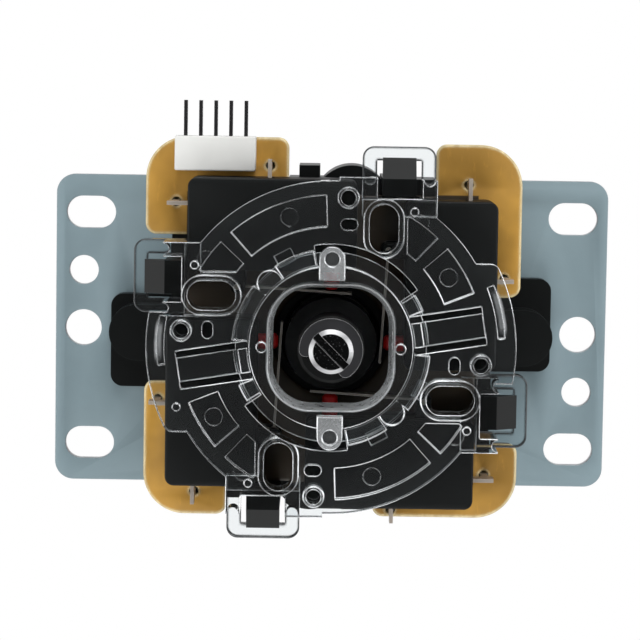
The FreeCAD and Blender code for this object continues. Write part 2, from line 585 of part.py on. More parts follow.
def mounting_plate():
    body = doc.addObject("PartDesign::Body", "plate_blank")
    half = ("plate_length / 2", "plate_width / 2")
    sketch = sketch_on(body, "plate_outline", "XY_Plane")
    signs = (("-", "-"), ("", "-"), ("", ""), ("-", ""))
    outline(sketch, [(f"{a}{half[0]}", f"{b}{half[1]}") for a, b in signs])
    pad = body.newObject("PartDesign::Pad", "plate_pad")
    pad.Profile = sketch
    pad.Reversed = True
    bind(pad, Length="plate_thick")
    doc.recompute()
    upright = [f"Edge{i}" for i, edge in enumerate(pad.Shape.Edges, 1)
               if abs(edge.Vertexes[0].Z - edge.Vertexes[-1].Z) > size("plate_thick") / 2]
    fillet = body.newObject("PartDesign::Fillet", "plate_corners")
    fillet.Base = (pad, upright)
    bind(fillet, Radius="plate_corner")
    through = (f"{PLATE_BACK} - {PAST}", PAST)
    holes = [rod("plate_middle", "plate_hole", through)]
    for i, x in enumerate(("-slot_pitch_x / 2", "slot_pitch_x / 2")):
        for j, y in enumerate(("-slot_pitch_y / 2", "slot_pitch_y / 2")):
            holes.append(obround(f"plate_slot_{i}{j}", (x, y), "slot_length", "slot_width", through))
    for sign in ("", "-"):
        holes.append(rod("plate_large", "large_hole", through, (f"{sign}side_hole_x", "0")))
        holes.append(rod("plate_small", "small_hole", through, (f"{sign}side_hole_x", f"{sign}side_hole_y")))
    for place_xy in SCREW_PLACES:
        holes.append(screw_cone("plate_sink", place_xy, "screw_fit"))
    node("mounting_plate", cut("plate_cut", body, holes))


def plate_screws():
    screws = []
    for place_xy in SCREW_PLACES:
        shank = rod("screw_body", "screw_shank", (f"{PLATE_BACK} - screw_depth", PLATE_BACK), place_xy)
        blank = fuse("screw_blank", [screw_cone("screw_cone", place_xy, "0"), shank])
        cross = []
        for wide, tall in (("screw_shank", "screw_slot / 2"), ("screw_slot / 2", "screw_shank")):
            cross.append(slab("screw_recess", (f"{place_xy[0]} - {wide}", f"{place_xy[0]} + {wide}"),
                              (f"{place_xy[1]} - {tall}", f"{place_xy[1]} + {tall}"),
                              ("-screw_recess", PAST)))
        screws.append(cut("screw", blank, cross))
    node("plate_screws", group("screws", screws))


# Base housing with its ears, screw bosses and snap hooks

def base_hook(angle):
    sides = ("hook_x - hook_width / 2", "hook_x + hook_width / 2")
    root = slab("hook_root", sides, (f"-{HOOK_OUT}", "base_wall - base_half"), (BOARD_TOP, PLATE_BACK))
    stem = slab("hook_stem", sides, (f"-{HOOK_OUT}", f"-{HOOK_FACE}"), (HOOK_TIP, PLATE_BACK))
    sill_y = ("-base_half - sill_out", "base_wall - base_half")
    sill = slab("notch_sill", (f"-{NOTCH_NEAR}", NOTCH_FAR), sill_y, (BOARD_TOP, PLATE_BACK))
    nose = doc.addObject("Part::Wedge", "hook_nose")
    bind(nose, Xmin=sides[0], X2min=sides[0], Xmax=sides[1], X2max=sides[1],
         Ymin=f"-{BAR_IN} - hook_catch", Ymax=f"-{HOOK_OUT}",
         Zmin=f"{HOOK_CATCH} - hook_lip", Zmax=HOOK_CATCH, Z2min=HOOK_TIP, Z2max=HOOK_CATCH)
    return turn(fuse("hook", [root, sill, stem, nose]), angle)


def base_side(angle):
    """Ear with its boss, and the end boss and stop block a quarter turn on."""
    inner = "base_half - base_wall"
    edges = ("-ear_shift - ear_span / 2", "-ear_shift + ear_span / 2")
    ear_x = (f"{inner} - ear_corner", "ear_reach")
    ear = rounded_slab("ear", ear_x, edges, (DECK_BACK, PLATE_BACK), "ear_corner")
    drop = ("-plate_thick - ear_boss_drop", PLATE_BACK)
    boss = rod("ear_boss_end", "ear_boss", drop, SCREW_PLACES[0])
    neck = slab("ear_boss_neck", (inner, SCREW_PLACES[0][0]), ("-ear_boss", "ear_boss"), drop)
    end_boss = rod("end_boss_post", "end_boss", (BOARD_TOP, PLATE_BACK), SCREW_PLACES[2])
    block_x = ("-stop_block_x - stop_block_width / 2", "-stop_block_x + stop_block_width / 2")
    block = slab("stop_block", block_x, ("-stop_block_reach", f"-({inner})"), (BOARD_TOP, PLATE_BACK))
    return turn(fuse("base_side", [ear, boss, neck, end_boss, block]), angle)


def base_housing():
    square = ("-base_half", "base_half")
    hollow = ("base_wall - base_half", "base_half - base_wall")
    body = rounded_slab("base_block", square, square, (BOARD_TOP, PLATE_BACK), "base_corner")
    room_z = (f"{BOARD_TOP} - {PAST}", DECK_BACK)
    room = rounded_slab("base_room", hollow, hollow, room_z, "base_corner - base_wall")
    shell = cut("base_shell", body, [room])
    barrel = rod("base_barrel", f"{SOCKET} + barrel_wall", (BOARD_TOP, PLATE_BACK))
    hooks = [base_hook(angle) for side, angle in QUARTERS]
    sides = [base_side(angle) for angle in ("0", "180")]
    solid = fuse("base_solid", [shell, barrel] + hooks + sides)
    pilot = (f"{PLATE_BACK} - screw_depth - {PAST} / 2", f"{PLATE_BACK} + {PAST}")
    holes = [rod("base_pilot", "screw_shank + screw_fit", pilot, place_xy) for place_xy in SCREW_PLACES]
    holes.append(ball("base_socket", SOCKET, PIVOT))
    holes.append(rod("base_bore", SOCKET, (f"{BOARD_TOP} - {PAST}", PIVOT)))
    holes.append(rod("base_mouth", "shaft_radius + mouth_clear", (PIVOT, PAST)))
    node("base_housing", cut("base_cut", solid, holes))


# Circuit board and its header

BOARD_X = (f"-{OUT_TAIL} - board_left", f"{OUT_TAIL} + board_right")
BOARD_Y = (f"-{OUT_TAIL} - board_front", f"{OUT_TAIL} + board_back")
FRONT_RIGHT = f"{BOARD_Y[0]} + board_step"
NOTCH_NEAR = "(notch_width / 2 - notch_shift)"
NOTCH_FAR = "(notch_width / 2 + notch_shift)"
HEADER_IN = f"(-{SWITCH_OUT} - header_gap)"
HEADER_OUT = f"({HEADER_IN} - header_depth)"
POST_MID = f"({BOARD_BACK} - header_tall / 2)"
POST_Y = f"({HEADER_IN} - header_depth / 2)"
POST_X = [f"(-header_x + {i} * post_pitch)" for i in range(-2, 3)]


def circuit_board():
    z = (BOARD_BACK, BOARD_TOP)
    through = (f"{BOARD_BACK} - {PAST}", f"{BOARD_TOP} + {PAST}")
    floor = ("-notch_floor", "notch_floor")
    quarters = (
        ((BOARD_X[0], f"-{NOTCH_NEAR}"), (BOARD_Y[0], f"-{NOTCH_FAR}")),
        ((NOTCH_FAR, BOARD_X[1]), (FRONT_RIGHT, f"-{NOTCH_NEAR}")),
        ((NOTCH_NEAR, BOARD_X[1]), (NOTCH_FAR, BOARD_Y[1])),
        ((BOARD_X[0], f"-{NOTCH_FAR}"), (NOTCH_NEAR, BOARD_Y[1])),
    )
    pieces = [slab("board_middle", floor, floor, z)]
    for x, y in quarters:
        front = FRONT_RIGHT if y[0] == FRONT_RIGHT else BOARD_Y[0]
        outline = rounded_slab("board_outline", BOARD_X, (front, BOARD_Y[1]), z, "board_corner")
        quarter = rounded_slab("board_square", x, y, z, "board_round")
        pieces.append(common("board_quarter", quarter, outline))
    blank = fuse("board_blank", pieces)
    holes = [rod("board_bore", "board_hole", through)]
    for side, angle in QUARTERS:
        tails = ((f"-{COM_TAIL}", COM_Y), ("-out_offset", f"-{OUT_TAIL}"))
        tail_holes = [rod("board_tail_hole", TAIL_HOLE, through, tail) for tail in tails]
        holes.append(turn(group("board_tail_holes", tail_holes), angle))
    for x in POST_X:
        holes.append(rod("board_post_hole", "post_hole", through, (x, POST_Y)))
    node("circuit_board", cut("board_cut", blank, holes))


def header():
    half = "post_size / 2"
    posts = []
    slots = []
    for x in POST_X:
        for items, room, top in ((posts, "0", f"{BOARD_TOP} + tail_proud"), (slots, "post_fit", BOARD_BACK)):
            wide = (f"{x} - {half} - {room}", f"{x} + {half} + {room}")
            flat = (f"{POST_MID} - {half} - {room}", f"{POST_MID} + {half} + {room}")
            near = f"{POST_Y} + {half} + {room}"
            run = slab("post_run", wide, (f"{HEADER_OUT} - post_out", near), flat)
            rise = slab("post_rise", wide, (f"{POST_Y} - {half} - {room}", near), (flat[0], top))
            items.append(fuse("post", [run, rise]))
    side_x = ("-header_x - header_width / 2", "-header_x + header_width / 2")
    tall = (f"{BOARD_BACK} - header_tall", BOARD_BACK)
    housing = slab("header_block", side_x, (HEADER_OUT, HEADER_IN), tall)
    node("header_housing", cut("header_cut", housing, slots))
    node("header_pins", group("header_posts", posts))


# Microswitches: case, cover, terminals, contact spring, plunger and lever for each side

SWITCH_X = (f"-{SWITCH_FAR}", "plunger_inset")
SWITCH_Y = (f"-{SWITCH_OUT}", "-switch_face")


def switch_case(side, angle):
    shell = rounded_slab("case_block", SWITCH_X, SWITCH_Y, (COVER_TOP, BOARD_BACK), "switch_corner")
    lugs = []
    for sign in ("-", "+"):
        near = f"{SWITCH_MID} {sign} (lever_width / 2 + lug_gap)"
        far = f"{SWITCH_MID} {sign} (lever_width / 2 + lug_gap + lug_thick)"
        z = (far, near) if sign == "-" else (near, far)
        lug_x = (f"{PIN_X} - lug_radius", f"{PIN_X} + lug_radius")
        lugs.append(slab("lug_arm", lug_x, (f"-{CAVITY_FACE}", PIN_Y), z))
        lugs.append(rod("lug_end", "lug_radius", z, (PIN_X, PIN_Y)))
    inside_x = (f"{SWITCH_X[0]} + switch_wall", f"{SWITCH_X[1]} - switch_wall")
    inside_y = (f"{SWITCH_Y[0]} + switch_wall", f"{SWITCH_Y[1]} - switch_wall")
    room_z = (f"{COVER_TOP} - {PAST}", f"{BOARD_BACK} - switch_wall")
    blade_z = (f"{SWITCH_MID} - blade_width / 2 - blade_fit", f"{SWITCH_MID} + blade_width / 2 + blade_fit")
    thick = "(blade_thick / 2 + blade_fit)"
    pin_z = (f"{SWITCH_MID} - switch_thick / 2", f"{SWITCH_MID} + switch_thick / 2")
    holes = [
        slab("case_room", inside_x, inside_y, room_z),
        slab("case_com_slot", (f"{SWITCH_X[0]} - {PAST}", inside_x[0] + f" + {PAST} / 2"),
             (f"{COM_Y} - {thick}", f"{COM_Y} + {thick}"), blade_z),
        slab("case_out_slot", (f"-out_offset - {thick}", f"-out_offset + {thick}"),
             (f"{SWITCH_Y[0]} - {PAST}", inside_y[0] + f" + {PAST} / 2"), blade_z),
        rod_along_y("case_plunger_hole", "plunger_width + plunger_fit",
                    (f"-{CAVITY_FACE} - {PAST} / 2", f"{PAST} - switch_face"), "0", SWITCH_MID),
        rod("case_pin_hole", "pin_radius + pin_gap / 4", pin_z, (PIN_X, PIN_Y)),
    ]
    solid = fuse("case_solid", [shell] + lugs)
    node(f"switch_case_{side}", turn(cut("case_cut", solid, holes), angle))


def switch_cover(side, angle):
    plate = rounded_slab("cover_plate", SWITCH_X, SWITCH_Y, (SWITCH_BACK, COVER_TOP), "switch_corner")
    node(f"switch_cover_{side}", turn(plate, angle))


def switch_terminals(side, angle):
    flat = (f"{SWITCH_MID} - blade_width / 2", f"{SWITCH_MID} + blade_width / 2")
    rise = (f"{SWITCH_MID} - blade_width / 2", f"{BOARD_TOP} + tail_proud")
    inner_x = f"{SWITCH_X[0]} + switch_wall + blade_in"
    inner_y = f"{SWITCH_Y[0]} + switch_wall + blade_in"
    com_y = (f"{COM_Y} - blade_thick / 2", f"{COM_Y} + blade_thick / 2")
    com_x = (f"-{COM_TAIL} - tail_width / 2", f"-{COM_TAIL} + tail_width / 2")
    out_x = ("-out_offset - blade_thick / 2", "-out_offset + blade_thick / 2")
    out_y = (f"-{OUT_TAIL} - tail_width / 2", f"-{OUT_TAIL} + tail_width / 2")
    common_blade = fuse("com_terminal", [slab("com_blade", (f"-{COM_END}", inner_x), com_y, flat),
                                         slab("com_tail", com_x, com_y, rise)])
    output_blade = fuse("out_terminal", [slab("out_blade", out_x, (f"-{OUT_END}", inner_y), flat),
                                         slab("out_tail", out_x, out_y, rise)])
    node(f"switch_terminals_{side}", turn(group("terminals", [common_blade, output_blade]), angle))


def switch_contact(side, angle):
    """Strip from the common terminal to behind the plunger."""
    z = (f"{SWITCH_MID} - blade_width / 2", f"{SWITCH_MID} + blade_width / 2")
    root_x = f"{SWITCH_X[0]} + switch_wall + blade_in"
    strip_y = (f"-{SNAP_FACE} - snap_thick", f"-{SNAP_FACE}")
    strip = slab("contact_strip", (root_x, "plunger_width"), strip_y, z)
    root_y = (f"{COM_Y} - blade_thick / 2", f"-{SNAP_FACE}")
    root = slab("contact_root", (root_x, f"{root_x} + snap_thick"), root_y, z)
    node(f"switch_contact_{side}", turn(fuse("contact", [strip, root]), angle))


def switch_plunger(side, angle):
    round_tip = "plunger_width / 3"
    stem = rod_along_y("plunger_stem", "plunger_width",
                       (f"-{PLUNGER_END}", f"-{PLUNGER_TIP} - {round_tip}"), "0", SWITCH_MID)
    flange = rod_along_y("plunger_collar", "plunger_flange",
                         (f"-{PLUNGER_END}", f"-{FLANGE_FACE}"), "0", SWITCH_MID)
    tip = doc.addObject("Part::Cone", "plunger_nose")
    tip.Placement.Rotation = FreeCAD.Rotation(FreeCAD.Vector(1, 0, 0), -90)
    bind(tip, Radius1="plunger_width", Radius2=f"plunger_width - {round_tip}", Height=round_tip)
    place(tip, "0", f"-{PLUNGER_TIP} - {round_tip}", SWITCH_MID)
    node(f"switch_plunger_{side}", turn(fuse("plunger", [stem, flange, tip]), angle))


def switch_lever(side, angle):
    """Strip with its pin at the local origin, then set on the pin at its slope."""
    z = ("-lever_width / 2", "lever_width / 2")
    reach = "(lever_arm + lever_tail) / cos(lever_slope)"
    strip = slab("lever_strip", ("0", reach), ("-lever_thick / 2", "lever_thick / 2"), z)
    curl = rod("lever_curl", "pin_radius + pin_gap + curl_wall", z)
    hole = rod("lever_hole", "pin_radius + pin_gap", (f"{z[0]} - {PAST}", f"{z[1]} + {PAST}"))
    lever = turn(cut("lever_cut", fuse("lever_solid", [strip, curl]), [hole]), f"{angle} + lever_slope")
    c = QUARTER_COS[angle]
    s = QUARTER_SIN[angle]
    place(lever, f"{PIN_X} * {c} - {PIN_Y} * {s}", f"{PIN_X} * {s} + {PIN_Y} * {c}", SWITCH_MID)
    node(f"switch_lever_{side}", lever)


def lever_pins():
    reach = "lever_width / 2 + lug_gap + lug_thick"
    z = (f"{SWITCH_MID} - ({reach})", f"{SWITCH_MID} + ({reach})")
    pins = []
    for side, angle in QUARTERS:
        pin = rod("pin_rod", "pin_radius", z, (PIN_X, PIN_Y))
        pins.append(turn(group("pin", [pin]), angle))
    node("lever_pins", group("pins", pins))


# Clear gate: a disc with snap tabs, tubes, pockets and spring tongues

FRONT_CUT = f"{GATE_FRONT} - {PAST}"
LIP_TOP = f"({GATE_FRONT} + lip_thick)"
CLEAR_THROUGH = (FRONT_CUT, f"{GATE_TOP} + {PAST}")
ARM_X = ("hook_x - (tab_width + window_width) / 4", "hook_x + (tab_width + window_width) / 4")


def gate_tab(angle):
    sides = ("hook_x - tab_width / 2", "hook_x + tab_width / 2")
    leg_in = f"-{SWITCH_FAR} - leg_gap"
    foot = slab("tab_foot", sides, ("-leg_out", "-foot_in"), (GATE_FRONT, GATE_TOP))
    leg = slab("tab_leg", sides, ("-leg_out", leg_in), (GATE_TOP, TAB_TOP))
    hollows = [rod("tab_hollow", "arm_round", (FRONT_CUT, TAB_LOW), (x, "-leg_out")) for x in ARM_X]
    frame = rounded_slab("tab_frame", sides, ("-tab_reach", leg_in), (TAB_LOW, TAB_TOP), "tab_corner")
    return turn(fuse("tab", [cut("tab_root", fuse("tab_stand", [foot, leg]), hollows), frame]), angle)


def gate_window(angle):
    sides = ("hook_x - window_width / 2", "hook_x + window_width / 2")
    hole = slab("window_hole", sides, (f"-{BAR_IN}", f"-{WINDOW_IN}"), (FRONT_CUT, f"{TAB_TOP} + {PAST}"))
    return turn(group("window", [hole]), angle)


def gate_tubes(angle, wall, z):
    """Oval and round tubes at one quarter, whole or as the holes through them."""
    thinner = "0" if not wall else "2 * oval_wall"
    oval = obround("oval", ("oval_x", "-oval_y"), f"oval_length - {thinner}",
                   f"oval_width - {thinner}", z, True)
    tube = rod("tube", "tube_radius - tube_wall" if wall else "tube_radius", z, ("tube_x", "-tube_y"))
    return turn(fuse("tubes", [oval, tube]), angle)


def gate_pockets():
    """Recesses in the front face: long ones twice, short ones beside each oval tube."""
    z = (FRONT_CUT, f"{GATE_FRONT} + pocket_deep")
    pockets = []
    for kind in ("long_pocket", "side_pocket"):
        for half in ("0", "180"):
            start = f"{kind}_start + {half}"
            pockets.append(sector("pocket", "pocket_in", "pocket_out", start, f"{kind}_sweep", z))
    for side, angle in QUARTERS:
        arc = sector("short_arc", "pocket_in", "pocket_out", "short_pocket_start", "short_pocket_sweep", z)
        side_cut = slab("short_side", ("pocket_line", "pocket_out"), ("-pocket_out", "0"), z)
        pockets.append(turn(common("short_pocket", arc, side_cut), angle))
    return pockets


def gate_ring_seat():
    """Hole, lip, knob tracks and shallow recesses round the restrictor ring."""
    cuts = [rod("ring_hole", RING_HOLE, CLEAR_THROUGH),
            rod("ring_counterbore", "ring_flange + ring_gap", (LIP_TOP, CLEAR_THROUGH[1]))]
    shallow = (FRONT_CUT, f"{GATE_FRONT} + recess_deep")
    for half in ("0", "180"):
        cuts.append(sector("track", "ring_radius", TRACK_OUT, f"{half} - 90 - knob_room",
                           "ring_turn + 2 * knob_room", CLEAR_THROUGH))
        for kind in ("near_recess", "far_recess", "side_recess"):
            cuts.append(sector("ring_recess", "ring_radius", "ring_flange + 2 * ring_gap",
                               f"{kind}_start + {half}", f"{kind}_sweep", shallow))
        round_turn = f"(round_recess_turn + {half})"
        round_at = (f"knob_centre * cos{round_turn}", f"knob_centre * sin{round_turn}")
        cuts.append(rod("round_recess", "knob_width / 2", shallow, round_at))
    return cuts


def gate_tongues():
    """Slits that free a spring tongue on each side of the ring, and the tongue's thinner flat."""
    slits = []
    for half in ("0", "180"):
        for sign in ("", "-"):
            middle = f"{sign}(tongue_width + tongue_slit) / 2"
            y = (f"{middle} - tongue_slit / 2", f"{middle} + tongue_slit / 2")
            slit = slab("tongue_slit_run", ("ring_radius", "tongue_out"), y, CLEAR_THROUGH)
            slits.append(turn(group("tongue_slit_cut", [slit]), f"{half} - tongue_turn"))
        flat_y = ("-tongue_width / 2", "tongue_width / 2")
        flat = slab("tongue_flat", (f"{RING_HOLE} + tongue_lip", "tongue_out"), flat_y,
                    (FRONT_CUT, f"{GATE_FRONT} + recess_deep"))
        slits.append(turn(group("tongue_flat_cut", [flat]), f"{half} - tongue_turn"))
    return slits


def gate_clips():
    """Four clips that hold the ring's flange from behind."""
    clips = []
    reach = ("ring_flange - clip_catch", "ring_flange + clip_root")
    wide = ("-clip_width / 2", "clip_width / 2")
    for half in ("0", "180"):
        for angle in ("clip_turn", "clip_turn + clip_pitch"):
            clip = slab("clip_block", reach, wide, (DISC_TOP, f"{DISC_TOP} + clip_thick"))
            foot = slab("clip_foot", ("ring_flange + ring_gap", reach[1]), wide, (LIP_TOP, DISC_TOP))
            clips.append(turn(fuse("clip", [clip, foot]), f"{angle} + {half}"))
    return clips


def gate_marks():
    """Small slots and shallow round mould marks."""
    cuts = []
    mark_radius = "(tube_radius - tube_wall / 2)"
    middle = "((pocket_in + pocket_out) / 2)"
    pocket_floor = (FRONT_CUT, f"{GATE_FRONT} + pocket_deep + mark_deep")
    for side, angle in QUARTERS:
        slit = obround("slit", ("slit_x", "-slit_y"), "slit_length", "slit_width", CLEAR_THROUGH)
        at = ("pocket_out * cos(mark_turn)", "-pocket_out * sin(mark_turn)")
        mark = rod("mark", mark_radius, (FRONT_CUT, f"{GATE_FRONT} + mark_deep"), at)
        cuts.append(turn(fuse("marks", [slit, mark]), angle))
    for half in ("0", "180"):
        for angle in (f"(long_mark_turn + {half})", f"(side_mark_turn + {half})"):
            at = (f"{middle} * cos{angle}", f"{middle} * sin{angle}")
            cuts.append(rod("pocket_mark", mark_radius, pocket_floor, at))
    return cuts


def gate_lobe(z):
    """Side lobe whose front corner is round and meets its outer arc smoothly."""
    inner = "(lobe_radius - lobe_round)"
    rise = "(lobe_up - lobe_round)"
    corner = (f"sqrt({inner} * {inner} - {rise} * {rise})", f"-{rise}")
    span_y = (f"-lobe_radius * {rise} / {inner}", "lobe_down")
    span = slab("lobe_span", ("0", f"lobe_radius + {PAST}"), span_y, z)
    arc = common("lobe_arc", rod("lobe_disc", "lobe_radius", z), span)
    end = slab("lobe_end", ("0", corner[0]), ("-lobe_up", corner[1]), z)
    return fuse("lobe", [arc, end, rod("lobe_corner", "lobe_round", z, corner)])


def gate_plate():
    disc = rod("disc", "disc_radius", (GATE_FRONT, DISC_TOP))
    bodies = [disc]
    pip_z = (f"{GATE_FRONT} - collar_proud", DISC_TOP)
    for side, angle in QUARTERS:
        bodies.append(gate_tab(angle))
        bodies.append(gate_tubes(angle, False, (f"{GATE_FRONT} - collar_proud", GATE_TOP)))
        pip_at = ("(disc_radius - pip_inset) * cos(pip_turn)", "-(disc_radius - pip_inset) * sin(pip_turn)")
        pip = rod("pip", "pip_radius", pip_z, pip_at)
        bodies.append(turn(group("pip_turned", [pip]), angle))
    bodies.append(rod("lobe_pip", "pip_radius", pip_z, ("-lobe_pip_x", "lobe_pip_y")))
    grooves = []
    for half, which in (("0", "right"), ("180", "left")):
        bodies.append(turn(gate_lobe((GATE_FRONT, DISC_TOP)), half))
        step = slab("step_block", ("step_x", "hook_x - window_width / 2"), ("-step_reach", "-foot_in"),
                    (GATE_FRONT, DISC_TOP))
        bodies.append(turn(group("step", [step]), half))
        groove = ("lobe_groove - lobe_groove_width / 2", "lobe_groove + lobe_groove_width / 2")
        grooves.append(sector("lobe_slot", groove[0], groove[1], f"{half} + {which}_groove_start",
                              f"{which}_groove_sweep", (FRONT_CUT, f"{GATE_FRONT} + lobe_groove_deep")))
    solid = fuse("gate_solid", bodies)
    cuts = grooves + gate_pockets() + gate_ring_seat() + gate_tongues() + gate_marks()
    for side, angle in QUARTERS:
        cuts.append(gate_window(angle))
        cuts.append(gate_tubes(angle, True, (f"{FRONT_CUT} - collar_proud", CLEAR_THROUGH[1])))
    blank = cut("gate_cut", solid, cuts)
    node("gate_plate", fuse("gate", [blank] + gate_clips()))


def restrictor_ring():
    back = f"({GATE_FRONT} + ring_thick)"
    outer = "(opening_half + opening_wall)"
    rim = (f"-{outer}", outer)
    plate = rod("ring_plate", "ring_radius", (GATE_FRONT, back))
    flange = rod("ring_flange_disc", "ring_flange", (f"{LIP_TOP} + ring_gap", back))
    wall_z = (GATE_FRONT, f"{GATE_FRONT} + opening_tall")
    wall = rounded_slab("ring_wall", rim, rim, wall_z, "opening_corner + opening_wall")
    bodies = [plate, flange, wall]
    dimples = []
    for half, sign in (("0", "-"), ("180", "")):
        front = f"{GATE_FRONT} - knob_proud"
        knob_x = ("-knob_width / 2", "knob_width / 2")
        block = slab("knob_block", knob_x, ("-knob_centre", f"-{outer} - knob_inset"), (front, back))
        end = rod("knob_end", "knob_width / 2", (front, back), ("0", "-knob_centre"))
        bodies.append(turn(fuse("knob", [block, end]), half))
        dimples.append(rod("dimple", "knob_dimple", (f"{front} - {PAST}", f"{front} + knob_proud / 2"),
                           ("0", f"{sign}knob_centre")))
        bodies.append(rod("peg", "peg_radius", (f"{GATE_FRONT} - peg_proud", back), (f"{sign}peg_x", "0")))
    hole_z = (FRONT_CUT, f"{GATE_FRONT} + opening_tall + {PAST}")
    hole = flared_slab("ring_opening", "opening_half", "opening_corner", "opening_flare", hole_z)
    node("restrictor_ring", cut("ring_cut", fuse("ring_solid", bodies), [hole] + dimples))


# Shaft, pivot and the pieces carried on the shaft

def shaft():
    low = "shaft_low"
    points = [("0", SHAFT_END), (f"{low} - shaft_bevel", SHAFT_END), (low, f"{SHAFT_END} + shaft_bevel"),
              (low, GROOVE_LOW), ("groove_radius", GROOVE_LOW),
              ("groove_radius", GROOVE_TOP), (low, GROOVE_TOP),
              (low, SHAFT_STEP), ("shaft_radius", SHAFT_STEP), ("shaft_radius", "shaft_top"),
              ("thread_radius", "shaft_top"), ("thread_radius", "shaft_top + thread_length"),
              ("0", "shaft_top + thread_length")]
    slot_y = ("-driver_slot / 2", "driver_slot / 2")
    slot = slab("driver_cut", (f"-{low} - {PAST}", f"{low} + {PAST}"), slot_y,
                (f"{SHAFT_END} - {PAST}", f"{SHAFT_END} + driver_deep"))
    node("shaft", cut("shaft_cut", turned("shaft_turned", points), [turn(group("driver", [slot]), "45")]))


def pivot():
    z = (f"{PIVOT} - pivot_low", f"{PIVOT} + pivot_top")
    band = rod("pivot_band", "pivot_ball", z)
    sphere = common("pivot_flats", ball("pivot_sphere", "pivot_ball", PIVOT), band)
    step_z = (f"{SHAFT_STEP} - shaft_fit", f"{z[1]} + {PAST}")
    bores = [rod("pivot_bore", SHAFT_BORE, (f"{z[0]} - {PAST}", f"{z[1]} + {PAST}")),
             rod("pivot_counterbore", "shaft_radius + shaft_fit", step_z)]
    node("pivot_ball", cut("pivot_cut", sphere, bores))
    inner = "(pivot_ball + pivot_gap)"
    outer = "(pivot_ball + pivot_gap + bush_thick)"
    band = rod("bush_band", outer, (f"{PIVOT} + bush_low", f"{PIVOT} + bush_low + bush_tall"))
    shell = cut("bush_shell", ball("bush_outer", outer, PIVOT), [ball("bush_inner", inner, PIVOT)])
    node("pivot_bush", common("bush", shell, band))


def centring_spring():
    hub = f"{SEAT_LOW} - seat_hub_tall"
    seat = [(SHAFT_BORE, SEAT_TOP), (SHAFT_BORE, hub), ("seat_hub", hub), ("seat_hub", SEAT_LOW),
            ("seat_radius", SEAT_LOW), ("seat_radius", SEAT_TOP)]
    node("spring_seat", turned("seat_turned", seat))
    helix = doc.addObject("Part::Helix", "spring_path")
    bind(helix, Radius="coil_radius", Height=f"{SEAT_LOW} - ({CUP_FLOOR}) - 2 * wire_radius - 2 * seat_gap")
    bind(helix, Pitch=f"({SEAT_LOW} - ({CUP_FLOOR}) - 2 * wire_radius - 2 * seat_gap) / coil_turns")
    place(helix, z=f"{CUP_FLOOR} + wire_radius + seat_gap")
    section = doc.addObject("Part::Circle", "spring_section")
    section.Placement.Rotation = FreeCAD.Rotation(FreeCAD.Vector(1, 0, 0), 90)
    bind(section, Radius="wire_radius")
    place(section, "coil_radius", "0", f"{CUP_FLOOR} + wire_radius + seat_gap")
    sweep = doc.addObject("Part::Sweep", "spring_wire")
    sweep.Sections = [section]
    sweep.Spine = (helix, ["Edge1"])
    sweep.Solid = True
    sweep.Frenet = True
    node("centring_spring", sweep)


def actuator():
    slope = f"{ACTUATOR_STEP} - actuator_cone"
    points = [(SHAFT_BORE, ACTUATOR_LOW), ("actuator_low - actuator_bevel", ACTUATOR_LOW),
              ("actuator_low", f"{ACTUATOR_LOW} + actuator_bevel"), ("actuator_low", slope),
              ("actuator_radius", ACTUATOR_STEP), ("actuator_radius", ACTUATOR_TOP),
              ("actuator_cup", ACTUATOR_TOP), ("actuator_cup", CUP_FLOOR), (SHAFT_BORE, CUP_FLOOR)]
    node("actuator", turned("actuator_turned", points))


def clip_ring():
    z = (f"{GROOVE_TOP} - clip_ring_thick", GROOVE_TOP)
    inner = "(groove_radius + shaft_fit)"
    middle = f"((clip_ring_radius + {inner}) / 2)"
    half = f"((clip_ring_radius - {inner}) / 2)"
    arc = sector("clip_arc", inner, "clip_ring_radius", "clip_ring_start + clip_ring_open",
                 "360 - clip_ring_open", z)
    ends = []
    for angle in ("clip_ring_start", "clip_ring_start + clip_ring_open"):
        ends.append(rod("clip_end", half, z, (f"{middle} * cos({angle})", f"{middle} * sin({angle})")))
    node("clip_ring", fuse("clip_ring_solid", [arc] + ends))


def ball_top():
    centre = "(shaft_top + sqrt(ball_radius ^ 2 - ball_flat ^ 2))"
    crown = f"{centre} + ball_radius"
    band = rod("ball_band", "ball_radius", ("shaft_top", f"{crown} + {PAST}"))
    sphere = common("ball_flat_cut", ball("ball_sphere", "ball_radius", centre), band)
    hole_z = (f"shaft_top - {PAST}", "shaft_top + insert_length + insert_fit")
    hole = rod("ball_hole", "insert_radius + insert_fit", hole_z)
    node("ball_top", cut("ball_cut", sphere, [hole]))
    bore = "(thread_radius + insert_fit)"
    top = "shaft_top + insert_length"
    insert = [(bore, "shaft_top"), ("insert_radius", "shaft_top"), ("insert_radius", top), (bore, top)]
    node("ball_insert", turned("insert_turned", insert))
    bore = "(shaft_radius + shaft_fit)"
    top = "washer_height + washer_thick"
    washer = [(bore, "washer_height"), ("washer_radius", "washer_height"),
              ("washer_radius", f"{top} - washer_thick / 2"),
              ("washer_radius - washer_thick / 2", top), (bore, top)]
    node("dust_washer", turned("washer_turned", washer))


def build():
    mounting_plate()
    plate_screws()
    base_housing()
    circuit_board()
    header()
    for side, angle in QUARTERS:
        switch_case(side, angle)
        switch_cover(side, angle)
        switch_terminals(side, angle)
        switch_contact(side, angle)
        switch_plunger(side, angle)
        switch_lever(side, angle)
    lever_pins()
    gate_plate()
    restrictor_ring()
    shaft()
    pivot()
    centring_spring()
    actuator()
    clip_ring()
    ball_top()
    doc.recompute()


